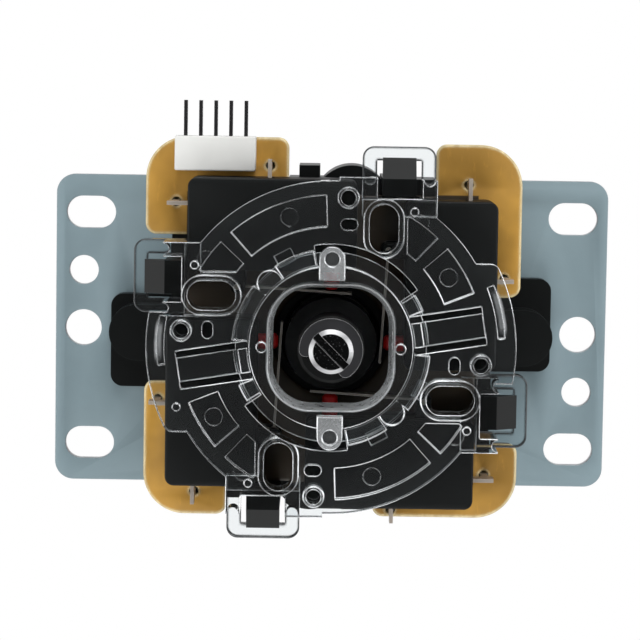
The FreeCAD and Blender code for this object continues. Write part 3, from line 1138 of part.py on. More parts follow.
def write():
    for item in doc.Objects:
        if "Invalid" in item.State or "Error" in item.State:
            raise RuntimeError(f"{item.Name} failed: {item.State}")
    for item in NODES:
        if item.Shape.isNull() or not item.Shape.isValid():
            raise RuntimeError(f"{item.Label} has no valid shape")
    os.makedirs("parts", exist_ok=True)
    for item in NODES:
        item.Shape.exportStep(f"parts/{item.Label}.step")
        print(f"{item.Label}: {len(item.Shape.Solids)} solids, {item.Shape.Volume:.1f} mm3")


build()
write()
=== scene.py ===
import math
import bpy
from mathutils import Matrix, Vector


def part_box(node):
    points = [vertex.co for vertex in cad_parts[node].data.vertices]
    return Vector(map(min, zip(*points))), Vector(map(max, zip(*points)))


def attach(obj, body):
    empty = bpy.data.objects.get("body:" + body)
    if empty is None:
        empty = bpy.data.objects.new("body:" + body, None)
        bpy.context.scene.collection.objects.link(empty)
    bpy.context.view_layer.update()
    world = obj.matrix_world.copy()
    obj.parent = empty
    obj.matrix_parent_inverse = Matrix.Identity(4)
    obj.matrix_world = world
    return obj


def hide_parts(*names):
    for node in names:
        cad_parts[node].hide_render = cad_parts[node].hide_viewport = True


bl_info = {
    "name": "Arcade joystick looks",
    "version": (1, 0, 0),
    "blender": (4, 5, 0),
    "location": "View3D > Sidebar > Joystick",
    "description": "Rounded mouldings, procedural finishes and a studio for the packed joystick",
    "category": "Object",
}

import bmesh
import bpy
from bpy.props import FloatProperty, FloatVectorProperty, PointerProperty
from bpy.types import Operator, Panel, PropertyGroup
from mathutils import Matrix, Vector

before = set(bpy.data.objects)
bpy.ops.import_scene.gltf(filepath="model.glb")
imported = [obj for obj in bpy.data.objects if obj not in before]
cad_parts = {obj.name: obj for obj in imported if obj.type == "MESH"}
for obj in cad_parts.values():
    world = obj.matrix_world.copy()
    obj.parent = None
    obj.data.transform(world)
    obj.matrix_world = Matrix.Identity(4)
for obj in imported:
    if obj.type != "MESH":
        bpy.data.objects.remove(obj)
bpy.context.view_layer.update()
SIDES = ("front", "right", "back", "left")
MM = 0.001
PICTURE_PIXELS = 640
WELD = 0.002 * MM
FLOOR_HALF = 4.0
LAMP_SIZE = 0.75
LAMP_SPREAD = math.radians(100)
LAMP_Z = -0.38


def colour(name, text, value):
    return FloatVectorProperty(name=name, description=text, subtype="COLOR", size=3, min=0.0, max=1.0,
                               default=value)


def number(name, text, value, **limits):
    return FloatProperty(name=name, description=text, default=value, **limits)


def length(name, text, value):
    return number(name, text, value, unit="LENGTH", min=0.0, precision=5)


class JoystickFinish(PropertyGroup):
    plate_paint: colour("Plate paint", "Grey-blue paint of the mounting plate", (0.25, 0.335, 0.37))
    bare_edge: colour("Bare edge", "Cut steel at the plate's edges", (0.62, 0.66, 0.68))
    moulding: colour("Black moulding", "Base, switches and actuator", (0.0055, 0.0065, 0.0065))
    board_face: colour("Board face", "Varnished face of the circuit board", (0.58, 0.31, 0.05))
    board_edge: colour("Board edge", "Sawn edge of the circuit board", (1.0, 0.9, 0.55))
    header: colour("Header", "White header housing", (0.86, 0.86, 0.83))
    plunger: colour("Plunger", "Red switch plungers", (0.72, 0.002, 0.004))
    ball: colour("Ball top", "Gloss ball top", (0.36, 0.006, 0.009))
    clear: colour("Clear plastic", "Gate and restrictor ring", (0.93, 0.96, 0.97))
    steel: colour("Steel", "Shaft, screws and centring spring", (0.62, 0.62, 0.63))
    terminal: colour("Terminal", "Tinned switch terminals", (0.62, 0.54, 0.46))
    # Painted shade: the levers' steel is given a dark grey-brown because they lie in shadow under the gate.
    lever: colour("Lever", "Spring steel of the switch levers", (0.32, 0.29, 0.25))
    clip: colour("E-ring", "Blackened spring steel of the E-ring", (0.085, 0.085, 0.09))
    dark_steel: colour("Dark steel", "Header posts", (0.07, 0.068, 0.07))
    brass: colour("Brass", "Contact springs and threaded insert", (0.58, 0.4, 0.14))


class JoystickDetail(PropertyGroup):
    gate_edge: length("Gate edge", "Width of the clear plastic's bright edges", 0.42 * MM)
    moulding_edge: length("Moulding edge", "Rounding of the black mouldings' edges", 0.28 * MM)
    sheet_edge: length("Sheet edge", "Rounding of the plate's and board's edges", 0.12 * MM)
    solder_pad: length("Solder pad", "Radius of a solder joint's pad", 1.15 * MM)
    solder_height: length("Solder height", "Height of a solder joint", 0.85 * MM)
    coil_turns: number("Coil turns", "Turns of the centring spring", 5.5, min=2.0)
    coil_wire: length("Coil wire", "Radius of the centring spring's wire", 0.45 * MM)


class JoystickStage(PropertyGroup):
    elevation: number("Elevation", "Camera below the plate", math.radians(-84.9), subtype="ANGLE")
    roll: number("Roll", "Turn of the picture", math.radians(0.9), subtype="ANGLE")
    distance: length("Distance", "Camera to the plate", 0.478)
    pixel: length("Pixel", "Width of a picture element at the plate", 0.173 * MM)
    axis_x: number("Axis across", "Shaft's axis right of the picture's middle, in pixels", 10.5)
    axis_y: number("Axis down", "Shaft's axis below the picture's middle, in pixels", 11.0)
    surround: number("Surround", "Brightness of the white surround", 1.0, min=0.0)
    horizon: number("Horizon", "Brightness of the surround's sides", 0.16, min=0.0)
    floor: colour("Floor", "Plain pale floor", (0.42, 0.43, 0.44))
    floor_depth: length("Floor depth", "Floor below the plate", 0.95)


class Value:
    """Number on a socket. Arithmetic on it adds Math nodes."""

    def __init__(self, tree, socket):
        self.tree = tree
        self.socket = socket

    def math(self, operation, *others):
        terms = dict(enumerate((self,) + others))
        made = self.tree.add("ShaderNodeMath", {"operation": operation}, terms)
        return Value(self.tree, made.outputs[0])

    def __add__(self, other):
        return self.math("ADD", other)

    def __mul__(self, other):
        return self.math("MULTIPLY", other)

    def __sub__(self, other):
        return self.math("SUBTRACT", other)

    def __rsub__(self, other):
        negative = self.math("MULTIPLY", -1.0)
        return negative.math("ADD", other)

    def __truediv__(self, other):
        return self.math("DIVIDE", other)

    def __abs__(self):
        return self.math("ABSOLUTE")

    __radd__ = __add__
    __rmul__ = __mul__

    def larger(self, other):
        return self.math("MAXIMUM", other)

    def step(self, low, high):
        """0 below low, 1 above high, smooth between."""
        made = self.tree.add("ShaderNodeMapRange", {"interpolation_type": "SMOOTHSTEP"},
                             {"Value": self, "From Min": low, "From Max": high})
        return Value(self.tree, made.outputs[0])


class Tree:
    """Node tree with one way to add a node."""

    def __init__(self, tree):
        self.tree = tree

    def add(self, kind, settings=None, sockets=None):
        made = self.tree.nodes.new(kind)
        for key, setting in (settings or {}).items():
            setattr(made, key, setting)
        for key, item in (sockets or {}).items():
            self.fill(made.inputs[key], item)
        return made

    def fill(self, socket, item):
        if isinstance(item, Value):
            item = item.socket
        if isinstance(item, bpy.types.NodeSocket):
            self.tree.links.new(item, socket)
        else:
            socket.default_value = item


class Finish(Tree):
    """Material built on one Principled shader."""

    def __init__(self, name, **sockets):
        self.material = bpy.data.materials.new(name)
        self.material.use_nodes = True
        super().__init__(self.material.node_tree)
        self.shader = self.tree.nodes["Principled BSDF"]
        self.place = self.add("ShaderNodeTexCoord").outputs["Object"]
        self.set(**sockets)

    def set(self, **sockets):
        for key, item in sockets.items():
            self.fill(self.shader.inputs[key.replace("_", " ")], item)

    def noise(self, scale, detail=2.0, roughness=0.5, place=None):
        sockets = {"Vector": place or self.place, "Scale": scale, "Detail": detail, "Roughness": roughness}
        made = self.add("ShaderNodeTexNoise", {"normalize": True}, sockets)
        return Value(self, made.outputs[0])

    def split(self, vector):
        made = self.add("ShaderNodeSeparateXYZ", sockets={0: vector})
        return [Value(self, made.outputs[i]) for i in range(3)]

    def facing(self):
        """How much the true face looks along each axis."""
        normal = self.add("ShaderNodeNewGeometry").outputs["True Normal"]
        return [abs(part) for part in self.split(normal)]

    def mix(self, factor, low, high):
        """Colour between two colours."""
        made = self.add("ShaderNodeMix", {"data_type": "RGBA"})
        for key, item in ((0, factor), (6, low), (7, high)):
            if isinstance(item, (tuple, list)) and len(item) == 3:
                item = (*item, 1.0)
            self.fill(made.inputs[key], item)
        return made.outputs[2]

    def stretched(self, x, y, z):
        sockets = {"Vector": self.place, "Scale": (x, y, z)}
        return self.add("ShaderNodeMapping", {"vector_type": "POINT"}, sockets).outputs[0]

    def relief(self, height, depth, strength, normal=None):
        """Bump of a given depth on the shader's normal, or on another one."""
        sockets = {"Strength": strength, "Distance": depth, "Height": height}
        if normal:
            sockets["Normal"] = normal
        self.set(Normal=self.add("ShaderNodeBump", sockets=sockets).outputs[0])

    def rounded(self, width):
        """Normal that turns over within a width of a sharp edge."""
        return self.add("ShaderNodeBevel", {"samples": 8}, {"Radius": width}).outputs[0]

    def edges(self, width, low=0.86, high=0.985):
        """1 within a width of a sharp edge, 0 on open faces."""
        plain = self.add("ShaderNodeNewGeometry").outputs["Normal"]
        sockets = {0: self.rounded(width), 1: plain}
        agree = self.add("ShaderNodeVectorMath", {"operation": "DOT_PRODUCT"}, sockets)
        return 1 - abs(Value(self, agree.outputs["Value"])).step(low, high)

    def cover(self, factor, **sockets):
        """Lay a second Principled shader over the first."""
        over = self.add("ShaderNodeBsdfPrincipled")
        for key, item in sockets.items():
            self.fill(over.inputs[key.replace("_", " ")], item)
        layers = {0: factor, 1: self.shader.outputs[0], 2: over.outputs[0]}
        both = self.add("ShaderNodeMixShader", sockets=layers)
        self.fill(self.tree.nodes["Material Output"].inputs[0], both.outputs[0])


def shade(rgb, by):
    return tuple(min(1.0, part * by) for part in rgb)


# Finishes

def painted_plate(look):
    """Grey-blue paint with faint mottling, bare steel on the sawn edges."""
    finish = Finish("plate_paint", Specular_IOR_Level=0.5)
    mottle = finish.noise(70.0, 4.0, 0.6)
    speck = finish.noise(2600.0, 2.0)
    side = 1 - finish.facing()[2].step(0.55, 0.8)
    paint = finish.mix(mottle, shade(look.plate_paint, 0.86), shade(look.plate_paint, 1.14))
    finish.set(Base_Color=finish.mix(side, paint, tuple(look.bare_edge)))
    finish.set(Roughness=0.34 + 0.14 * mottle + 0.06 * speck, Metallic=side * 0.8)
    finish.relief(speck, 0.02 * MM, 0.35)
    return finish.material


def black_moulding(look, name, rough, depth=1.0):
    """Satin black plastic with fine moulded grain and faint flow streaks, greyer along its edges from a
    painted edge highlight.
    """
    finish = Finish(name, Specular_IOR_Level=0.2)
    flow = finish.noise(45.0, 3.0, 0.6)
    grain = finish.noise(5200.0, 2.0, 0.6)
    # depth below 1 darkens the whole black as painted shade.
    body = finish.mix(flow, shade(look.moulding, 0.7 * depth), shade(look.moulding, 1.3 * depth))
    # Painted highlight: the edges are painted a lighter grey, varied by the flow noise.
    painted_edge_highlight = finish.edges(0.2 * MM) * (0.25 + 0.5 * flow)
    finish.set(Base_Color=finish.mix(painted_edge_highlight, body, shade(look.moulding, 7.0 * depth)))
    finish.set(Roughness=rough + 0.14 * flow + 0.06 * grain)
    finish.relief(grain, 0.012 * MM, 0.12)
    return finish.material


def board_varnish(look):
    """Amber varnished board, clouded, with pale fibres along its sawn edges, and painted shade darkening its
    middle and its notches.
    """
    finish = Finish("board_varnish", Coat_Weight=0.25, Coat_Roughness=0.18)
    cloud = finish.noise(38.0, 4.0, 0.62)
    fibre = finish.noise(900.0, 3.0, 0.7, finish.stretched(1.0, 0.25, 1.0))
    x, y = finish.split(finish.place)[:2]
    frayed = finish.edges(1.2 * MM, 0.9, 0.99) * (0.5 + fibre)
    face_x, face_y, face_z = finish.facing()
    side = 1 - face_z.step(0.55, 0.8)
    face = finish.mix(cloud.step(0.32, 0.7), shade(look.board_face, 0.68), shade(look.board_face, 1.35))
    face = finish.mix(fibre.step(0.55, 0.8) * 0.25, face, shade(look.board_face, 1.7))
    # Painted shade: the board's middle and its notches under the switches and gate are painted near-black.
    reach = abs(x).larger(abs(y))
    notch_end = (29.5 * MM, 30.5 * MM)
    notch_floor = (24.25 * MM, 24.5 * MM)
    notch_x = face_x.step(0.9, 0.97) * (1 - abs(x).step(*notch_end))
    notch_y = face_y.step(0.9, 0.97) * (1 - abs(y).step(*notch_end))
    painted_shade = (1 - reach.step(*notch_floor)).larger(notch_x.larger(notch_y))
    sawn = finish.mix(fibre.step(0.35, 0.65), shade(look.board_edge, 0.75), tuple(look.board_edge))
    outer = finish.mix(side.larger(frayed), face, sawn)
    finish.set(Base_Color=finish.mix(painted_shade, outer, shade(look.board_face, 0.05)))
    finish.set(Roughness=0.34 + 0.2 * cloud + 0.3 * side)
    finish.relief(fibre, 0.03 * MM, 0.4, finish.rounded(0.75 * MM))
    return finish.material


def clear_plastic(look, edge, name, frost_and_highlight):
    """Clear moulded plastic, barely waved, with painted bright edges and painted dark edge lines on the
    raised tabs, whitened where the mask passed in says: frosted on the ring's knobs, painted highlight along
    the ring's opening and the gate's grooves.
    """
    finish = Finish(name, Base_Color=(*look.clear, 1.0), Transmission_Weight=1.0, IOR=1.5,
                    Specular_IOR_Level=0.22)
    wave = finish.noise(120.0, 2.0)
    haze = finish.noise(650.0, 3.0, 0.6)
    # Whitened where the mask passed in says: frosted knobs, painted highlight on the ring's opening and the
    # gate's grooves.
    frosted_and_painted_highlight = frost_and_highlight(finish) * (0.3 + 0.7 * haze)
    finish.set(Roughness=0.015 + 0.05 * haze.step(0.45, 0.8) + 0.2 * frosted_and_painted_highlight)
    finish.relief(wave, 0.03 * MM, 0.35)
    # Painted highlight: the edges get a pale diffuse cover, varied by the glint noise.
    glint = finish.noise(75.0, 2.0).step(0.32, 0.68)
    # Painted shadow: on the raised tabs the edge lines are wider and painted near-black.
    tab_height = (-26.5 * MM, -25.5 * MM)
    raised = finish.split(finish.place)[2].step(*tab_height)
    rim = finish.edges(edge, 0.82, 0.96).larger(raised * finish.edges(2 * edge))
    bright = rim * (0.3 + 0.95 * glint + 0.5 * raised) * (0.75 + 0.5 * haze)
    edge_highlight_and_shadow_colour = finish.mix(raised, (0.95, 0.98, 1.0), (0.06, 0.066, 0.07))
    mirror = 0.6 * rim * (1 - raised)
    finish.cover(bright.larger(0.55 * frosted_and_painted_highlight), Base_Color=edge_highlight_and_shadow_colour, Metallic=mirror, Roughness=0.25,
                 Normal=finish.rounded(edge))
    return finish.material


def ring_frost_and_highlight(finish):
    """1 on the restrictor ring's two frosted knobs, and a painted highlight along the rim of its square
    opening.
    """
    x, y = [abs(part) for part in finish.split(finish.place)[:2]]
    knob_start = (11.0 * MM, 11.2 * MM)
    knob_side = (2.0 * MM, 2.2 * MM)
    knob = y.step(*knob_start) * (1 - x.step(*knob_side))
    # Painted highlight along the wall of the square opening.
    half_opening = 9.9 * MM
    corner = 6.6 * MM
    rim_width = (0.35 * MM, 0.65 * MM)
    out_x = (x - (half_opening - corner)).larger(0.0)
    out_y = (y - (half_opening - corner)).larger(0.0)
    reach = (out_x * out_x + out_y * out_y).math("SQRT")
    rim = 1 - abs(reach - corner).step(*rim_width)
    from_dimple = y - 14.5 * MM
    dimple_area = (1.1 * MM * MM, 1.6 * MM * MM)
    dimple = (x * x + from_dimple * from_dimple).step(*dimple_area)
    knob = knob * (0.25 + 0.75 * dimple)
    return (0.65 * knob).larger(rim)


def groove_highlight(finish):
    """Painted highlight: 1 along the arc grooves of the gate's side lobes, fading at their ends."""
    x, y = finish.split(finish.place)[:2]
    radius = (x * x + y * y).math("SQRT")
    groove_radius = 28.1 * MM
    groove_half = (0.25 * MM, 0.75 * MM)
    right_start, right_end = (-0.38, -0.3), (-0.14, -0.08)
    left_start, left_end = (-0.11, -0.02), (0.1, 0.16)
    band = 1 - abs(radius - groove_radius).step(*groove_half)
    turn = (y / x).math("ARCTANGENT")
    right_side = x.step(-MM, MM)
    right = right_side * turn.step(*right_start) * (1 - turn.step(*right_end))
    left = (1 - right_side) * turn.step(*left_start) * (1 - turn.step(*left_end))
    return band * (right + left)


def steel(name, rgb, rough, streak=(1.0, 1.0, 0.08), metal=1.0):
    """Metal with fine drawn streaks and dulled patches, with a painted highlight along its edges: paler and
    less metallic there.
    """
    finish = Finish(name)
    drawn = finish.noise(2400.0, 3.0, 0.6, finish.stretched(*streak))
    dull = finish.noise(160.0, 3.0)
    body = finish.mix(dull, shade(rgb, 0.78), shade(rgb, 1.12))
    # Painted highlight: a pale, less metallic band along every edge.
    painted_edge_highlight = finish.edges(0.1 * MM)
    painted_highlight_grey = (0.8, 0.8, 0.81)
    finish.set(Base_Color=finish.mix(painted_edge_highlight, body, painted_highlight_grey), Metallic=metal * (1 - 0.7 * painted_edge_highlight))
    finish.set(Roughness=rough + 0.12 * dull + 0.1 * drawn)
    finish.relief(drawn, 0.006 * MM, 0.4)
    return finish.material


def turned_steel(look):
    """Polished shaft with turning rings about its axis; inside the bevel its lower end face carries a painted
    dark reflection and its slot painted shade, and its edges a painted highlight.
    """
    finish = Finish("turned_steel")
    x, y, z = finish.split(finish.place)
    radius = (x * x + y * y).math("SQRT")
    smudge = finish.noise(420.0, 4.0, 0.65)
    pit = finish.noise(2600.0, 2.0).step(0.6, 0.72)
    face_pitch = 0.16 * MM
    side_pitch = 0.3 * MM
    ring = (radius * (2 * math.pi / face_pitch) + z * (2 * math.pi / side_pitch)).math("SINE")
    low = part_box("shaft")[0].z
    slot_side = (0.6 * MM, 0.66 * MM)
    slot_floor = (low + 1.7 * MM, low + 1.9 * MM)
    bevel_radius = (2.86 * MM, 2.94 * MM)
    bevel_height = (low + 0.7 * MM, low + 0.8 * MM)
    outside = radius.step(*bevel_radius)
    slot = 1 - (abs(x - y) * math.sqrt(0.5)).step(*slot_side)
    end = (1 - outside).larger(slot) * (1 - z.step(*slot_floor))
    # Painted highlight: the edges turn less metallic and stay out of the painted dark.
    painted_edge_highlight = finish.edges(0.14 * MM)
    # Painted reflection and shade: the end face and slot are painted near-black.
    painted_dark_end = end * (1 - painted_edge_highlight) * (1 - 0.5 * pit)
    bright = finish.mix(smudge, shade(look.steel, 0.85), shade(look.steel, 1.35))
    finish.set(Base_Color=finish.mix(painted_dark_end, bright, shade(look.steel, 0.045)), Metallic=1 - 0.6 * painted_edge_highlight)
    bevel = outside * (1 - z.step(*bevel_height))
    finish.set(Roughness=0.14 + 0.2 * smudge.step(0.4, 0.75) + 0.25 * bevel)
    finish.relief(ring, 0.004 * MM, 0.35)
    return finish.material


def gloss_plastic(name, rgb, coat, rough):
    """Glossy coloured plastic with a faint uneven polish."""
    finish = Finish(name, Coat_Weight=coat, Coat_Roughness=0.06)
    polish = finish.noise(90.0, 3.0)
    grain = finish.noise(3000.0, 2.0)
    finish.set(Base_Color=finish.mix(polish, shade(rgb, 0.85), shade(rgb, 1.15)))
    finish.set(Roughness=rough + 0.1 * polish)
    finish.relief(grain, 0.008 * MM, 0.3)
    return finish.material


def solder():
    """Dull bright tin."""
    finish = Finish("solder", Metallic=1.0)
    crystal = finish.noise(1500.0, 3.0)
    finish.set(Base_Color=finish.mix(crystal, (0.5, 0.51, 0.53), (0.78, 0.79, 0.8)))
    finish.set(Roughness=0.25 + 0.25 * crystal)
    finish.relief(crystal, 0.02 * MM, 0.4)
    return finish.material


# Meshes

def dress(piece, material):
    piece.data.materials.clear()
    piece.data.materials.append(material)


def dress_node(node, material):
    """Give a CAD node a finish without touching its shape."""
    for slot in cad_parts[node].material_slots:
        slot.material = material


def new_piece(name, mesh):
    piece = bpy.data.objects.new(name, mesh)
    bpy.context.scene.collection.objects.link(piece)
    return piece


def baked(piece):
    """Turn a piece's modifiers into its plain mesh."""
    evaluated = piece.evaluated_get(bpy.context.evaluated_depsgraph_get())
    mesh = bpy.data.meshes.new_from_object(evaluated)
    piece.modifiers.clear()
    piece.data = mesh
    return piece


def rounded_copy(node, width):
    """Copy of a node with its sharp edges rounded. It stands for the node."""
    flat = math.radians(0.6)
    corner = math.radians(32)
    smooth = math.radians(40)
    bm = bmesh.new()
    bm.from_mesh(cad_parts[node].data)
    bmesh.ops.remove_doubles(bm, verts=bm.verts, dist=WELD)
    bmesh.ops.dissolve_limit(bm, angle_limit=flat, verts=bm.verts, edges=bm.edges)
    mesh = bpy.data.meshes.new(node + "_rounded")
    bm.to_mesh(mesh)
    bm.free()
    piece = new_piece(node + "_rounded", mesh)
    bevel = piece.modifiers.new("edges", "BEVEL")
    bevel.width = width
    bevel.segments = 2
    bevel.limit_method = "ANGLE"
    bevel.angle_limit = corner
    bevel.use_clamp_overlap = False
    bevel.miter_outer = "MITER_ARC"
    baked(piece)
    piece.data.shade_smooth()
    piece.data.set_sharp_from_angle(angle=smooth)
    return piece


def stand_for(piece, node, body, material):
    dress(piece, material)
    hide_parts(node)
    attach(piece, body)


def geometry_tree(name, inputs):
    """Geometry Nodes group with named inputs: returns it, its builder and its group nodes."""
    group = bpy.data.node_groups.new(name, "GeometryNodeTree")
    group.interface.new_socket("Geometry", in_out="INPUT", socket_type="NodeSocketGeometry")
    group.interface.new_socket("Geometry", in_out="OUTPUT", socket_type="NodeSocketGeometry")
    for label, kind in inputs:
        group.interface.new_socket(label, in_out="INPUT", socket_type=kind)
    tree = Tree(group)
    return group, tree, tree.add("NodeGroupInput"), tree.add("NodeGroupOutput")


def close_tree(tree, entry, leave, geometry):
    """End a tree: real geometry, smooth, with its material."""
    real = tree.add("GeometryNodeRealizeInstances", sockets={0: geometry})
    smooth = tree.add("GeometryNodeSetShadeSmooth", sockets={0: real.outputs[0]})
    sockets = {0: smooth.outputs[0], "Material": entry.outputs["Material"]}
    finished = tree.add("GeometryNodeSetMaterial", sockets=sockets)
    tree.fill(leave.inputs[0], finished.outputs[0])


def grown(name, mesh, group, values):
    """Run a tree on a mesh and keep the result as a plain mesh."""
    piece = new_piece(name, mesh)
    modifier = piece.modifiers.new("grow", "NODES")
    modifier.node_group = group
    for item in group.interface.items_tree:
        if item.in_out == "INPUT" and item.name in values:
            modifier[item.identifier] = values[item.name]
    return baked(piece)


def points_mesh(name, points):
    mesh = bpy.data.meshes.new(name)
    mesh.from_pydata([tuple(point) for point in points], [], [])
    return mesh


def solder_tree():
    """Concave tin cone under every point, with its open wide end level with the point."""
    inputs = (("Pad radius", "NodeSocketFloat"), ("Height", "NodeSocketFloat"),
              ("Material", "NodeSocketMaterial"))
    group, tree, entry, leave = geometry_tree("solder_joints", inputs)
    tip = 0.02 * MM
    path_radius = 0.001 * MM
    pad = entry.outputs["Pad radius"]
    height = entry.outputs["Height"]
    foot = tree.add("ShaderNodeCombineXYZ", sockets={0: pad})
    bend = tree.add("ShaderNodeCombineXYZ", sockets={0: 0.38 * Value(tree, pad)})
    peak = tree.add("ShaderNodeCombineXYZ", sockets={0: tip, 1: height})
    edge = tree.add("GeometryNodeCurveQuadraticBezier", sockets={
        "Resolution": 8, "Start": foot.outputs[0], "Middle": bend.outputs[0], "End": peak.outputs[0]})
    path = {"Resolution": 24, "Radius": path_radius}
    round_path = tree.add("GeometryNodeCurvePrimitiveCircle", sockets=path)
    cone = tree.add("GeometryNodeCurveToMesh", sockets={0: round_path.outputs[0], 1: edge.outputs[0]})
    sockets = {"Points": entry.outputs[0], "Instance": cone.outputs[0]}
    joints = tree.add("GeometryNodeInstanceOnPoints", sockets=sockets)
    close_tree(tree, entry, leave, joints.outputs[0])
    return group


def coil_tree():
    """Helix of round wire whose turns draw together at both ends."""
    lengths = [(label, "NodeSocketFloat") for label in ("Turns", "Radius", "Wire", "Low", "High")]
    group, tree, entry, leave = geometry_tree("centring_coil", lengths + [("Material", "NodeSocketMaterial")])
    radius = entry.outputs["Radius"]
    spiral = tree.add("GeometryNodeCurveSpiral", sockets={
        "Resolution": 48, "Rotations": entry.outputs["Turns"], "Start Radius": radius, "End Radius": radius,
        "Height": 0.0})
    along = Value(tree, tree.add("GeometryNodeSplineParameter").outputs["Factor"])
    eased = 0.55 * along + 0.45 * along.step(0.0, 1.0)
    low = Value(tree, entry.outputs["Low"])
    rise = low + eased * (Value(tree, entry.outputs["High"]) - low)
    lift = tree.add("ShaderNodeCombineXYZ", sockets={2: rise})
    helix = tree.add("GeometryNodeSetPosition", sockets={0: spiral.outputs[0], "Offset": lift.outputs[0]})
    circle = {"Resolution": 14, "Radius": entry.outputs["Wire"]}
    section = tree.add("GeometryNodeCurvePrimitiveCircle", sockets=circle)
    sockets = {0: helix.outputs[0], 1: section.outputs[0], "Fill Caps": True}
    wire = tree.add("GeometryNodeCurveToMesh", sockets=sockets)
    close_tree(tree, entry, leave, wire.outputs[0])
    return group


# Operators: one for each piece or group of like pieces

class JOYSTICK_OT_mounting_plate(Operator):
    """Paint the mounting plate and finish its screws"""

    bl_idname = "joystick.mounting_plate"
    bl_label = "Mounting plate"

    def execute(self, context):
        look = context.scene.joystick_finish
        piece = rounded_copy("mounting_plate", context.scene.joystick_detail.sheet_edge)
        stand_for(piece, "mounting_plate", "base", painted_plate(look))
        dress_node("plate_screws", steel("screw_steel", tuple(look.steel), 0.28))
        return {"FINISHED"}


class JOYSTICK_OT_base_housing(Operator):
    """Give the black base satin plastic"""

    bl_idname = "joystick.base_housing"
    bl_label = "Base housing"

    def execute(self, context):
        dress_node("base_housing", black_moulding(context.scene.joystick_finish, "base_plastic", 0.3))
        return {"FINISHED"}


class JOYSTICK_OT_circuit_board(Operator):
    """Varnish the board, add its solder joints and finish the header"""

    bl_idname = "joystick.circuit_board"
    bl_label = "Circuit board"

    def execute(self, context):
        look = context.scene.joystick_finish
        detail = context.scene.joystick_detail
        board = rounded_copy("circuit_board", detail.sheet_edge)
        stand_for(board, "circuit_board", "base", board_varnish(look))
        header = rounded_copy("header_housing", detail.moulding_edge)
        white = gloss_plastic("header_nylon", tuple(look.header), 0.0, 0.42)
        stand_for(header, "header_housing", "base", white)
        dress_node("header_pins", steel("post_steel", tuple(look.dark_steel), 0.3))
        tin = solder()
        joints = grown("solder_joints", points_mesh("solder_places", self.places()), solder_tree(),
                       {"Pad radius": detail.solder_pad, "Height": detail.solder_height, "Material": tin})
        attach(joints, "base")
        return {"FINISHED"}

    @staticmethod
    def places():
        """Where the terminals' tails and the header's posts come out of the board."""
        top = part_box("circuit_board")[1].z
        above = top + 0.2 * MM
        apart = 1.8 * MM
        found = []
        for node in [f"switch_terminals_{side}" for side in SIDES] + ["header_pins"]:
            high = [vertex.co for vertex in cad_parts[node].data.vertices if vertex.co.z > above]
            while high:
                near = [co for co in high if (co - high[0]).xy.length < apart]
                middle = sum(near, Vector()) / len(near)
                found.append(Vector((middle.x, middle.y, top)))
                high = [co for co in high if (co - high[0]).xy.length >= apart]
        return found


class JOYSTICK_OT_switches(Operator):
    """Finish the four microswitches"""

    bl_idname = "joystick.switches"
    bl_label = "Switches"

    def execute(self, context):
        look = context.scene.joystick_finish
        detail = context.scene.joystick_detail
        case = black_moulding(look, "switch_plastic", 0.36)
        red = gloss_plastic("plunger_plastic", tuple(look.plunger), 0.05, 0.45)
        tin = steel("terminal_tin", tuple(look.terminal), 0.3, metal=0.45)
        spring = steel("lever_steel", tuple(look.lever), 0.32, (0.1, 0.1, 1.0))
        brass = steel("contact_brass", tuple(look.brass), 0.3)
        for side in SIDES:
            for kind in ("case", "cover"):
                node = f"switch_{kind}_{side}"
                piece = rounded_copy(node, detail.moulding_edge)
                stand_for(piece, node, "base", case)
            dress_node(f"switch_plunger_{side}", red)
            dress_node(f"switch_terminals_{side}", tin)
            dress_node(f"switch_lever_{side}", spring)
            dress_node(f"switch_contact_{side}", brass)
        dress_node("lever_pins", spring)
        return {"FINISHED"}


class JOYSTICK_OT_clear_gate(Operator):
    """Give the gate and the restrictor ring clear plastic"""

    bl_idname = "joystick.clear_gate"
    bl_label = "Clear gate"

    def execute(self, context):
        look = context.scene.joystick_finish
        edge = context.scene.joystick_detail.gate_edge
        dress_node("gate_plate", clear_plastic(look, edge, "clear_gate", groove_highlight))
        dress_node("restrictor_ring", clear_plastic(look, edge, "clear_ring", ring_frost_and_highlight))
        return {"FINISHED"}


class JOYSTICK_OT_shaft(Operator):
    """Finish the shaft and what it carries below the plate"""

    bl_idname = "joystick.shaft"
    bl_label = "Shaft and pivot"

    def execute(self, context):
        look = context.scene.joystick_finish
        detail = context.scene.joystick_detail
        dress_node("shaft", turned_steel(look))
        dress_node("clip_ring", steel("clip_steel", tuple(look.clip), 0.34))
        # Painted shade: depth 0.3 darkens the black of the actuator, spring seat, pivot bush and dust washer,
        # which sit deep in shade inside the ring.
        sleeve = black_moulding(look, "actuator_plastic", 0.46, 0.3)
        dress_node("pivot_ball", gloss_plastic("pivot_nylon", tuple(look.header), 0.0, 0.4))
        for node in ("actuator", "spring_seat", "pivot_bush", "dust_washer"):
            dress_node(node, sleeve)
        low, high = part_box("centring_spring")
        wire = detail.coil_wire
        values = {"Turns": detail.coil_turns, "Radius": (high.x - low.x) / 2 - wire, "Wire": wire,
                  "Low": low.z + wire, "High": high.z - wire,
                  "Material": steel("spring_steel", tuple(look.steel), 0.22)}
        coil = grown("centring_coil", points_mesh("coil_start", []), coil_tree(), values)
        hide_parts("centring_spring")
        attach(coil, "lever")
        return {"FINISHED"}


class JOYSTICK_OT_ball_top(Operator):
    """Finish the ball top and its insert"""

    bl_idname = "joystick.ball_top"
    bl_label = "Ball top"

    def execute(self, context):
        look = context.scene.joystick_finish
        dress_node("ball_top", gloss_plastic("ball_plastic", tuple(look.ball), 0.6, 0.2))
        dress_node("ball_insert", steel("insert_brass", tuple(look.brass), 0.3))
        return {"FINISHED"}


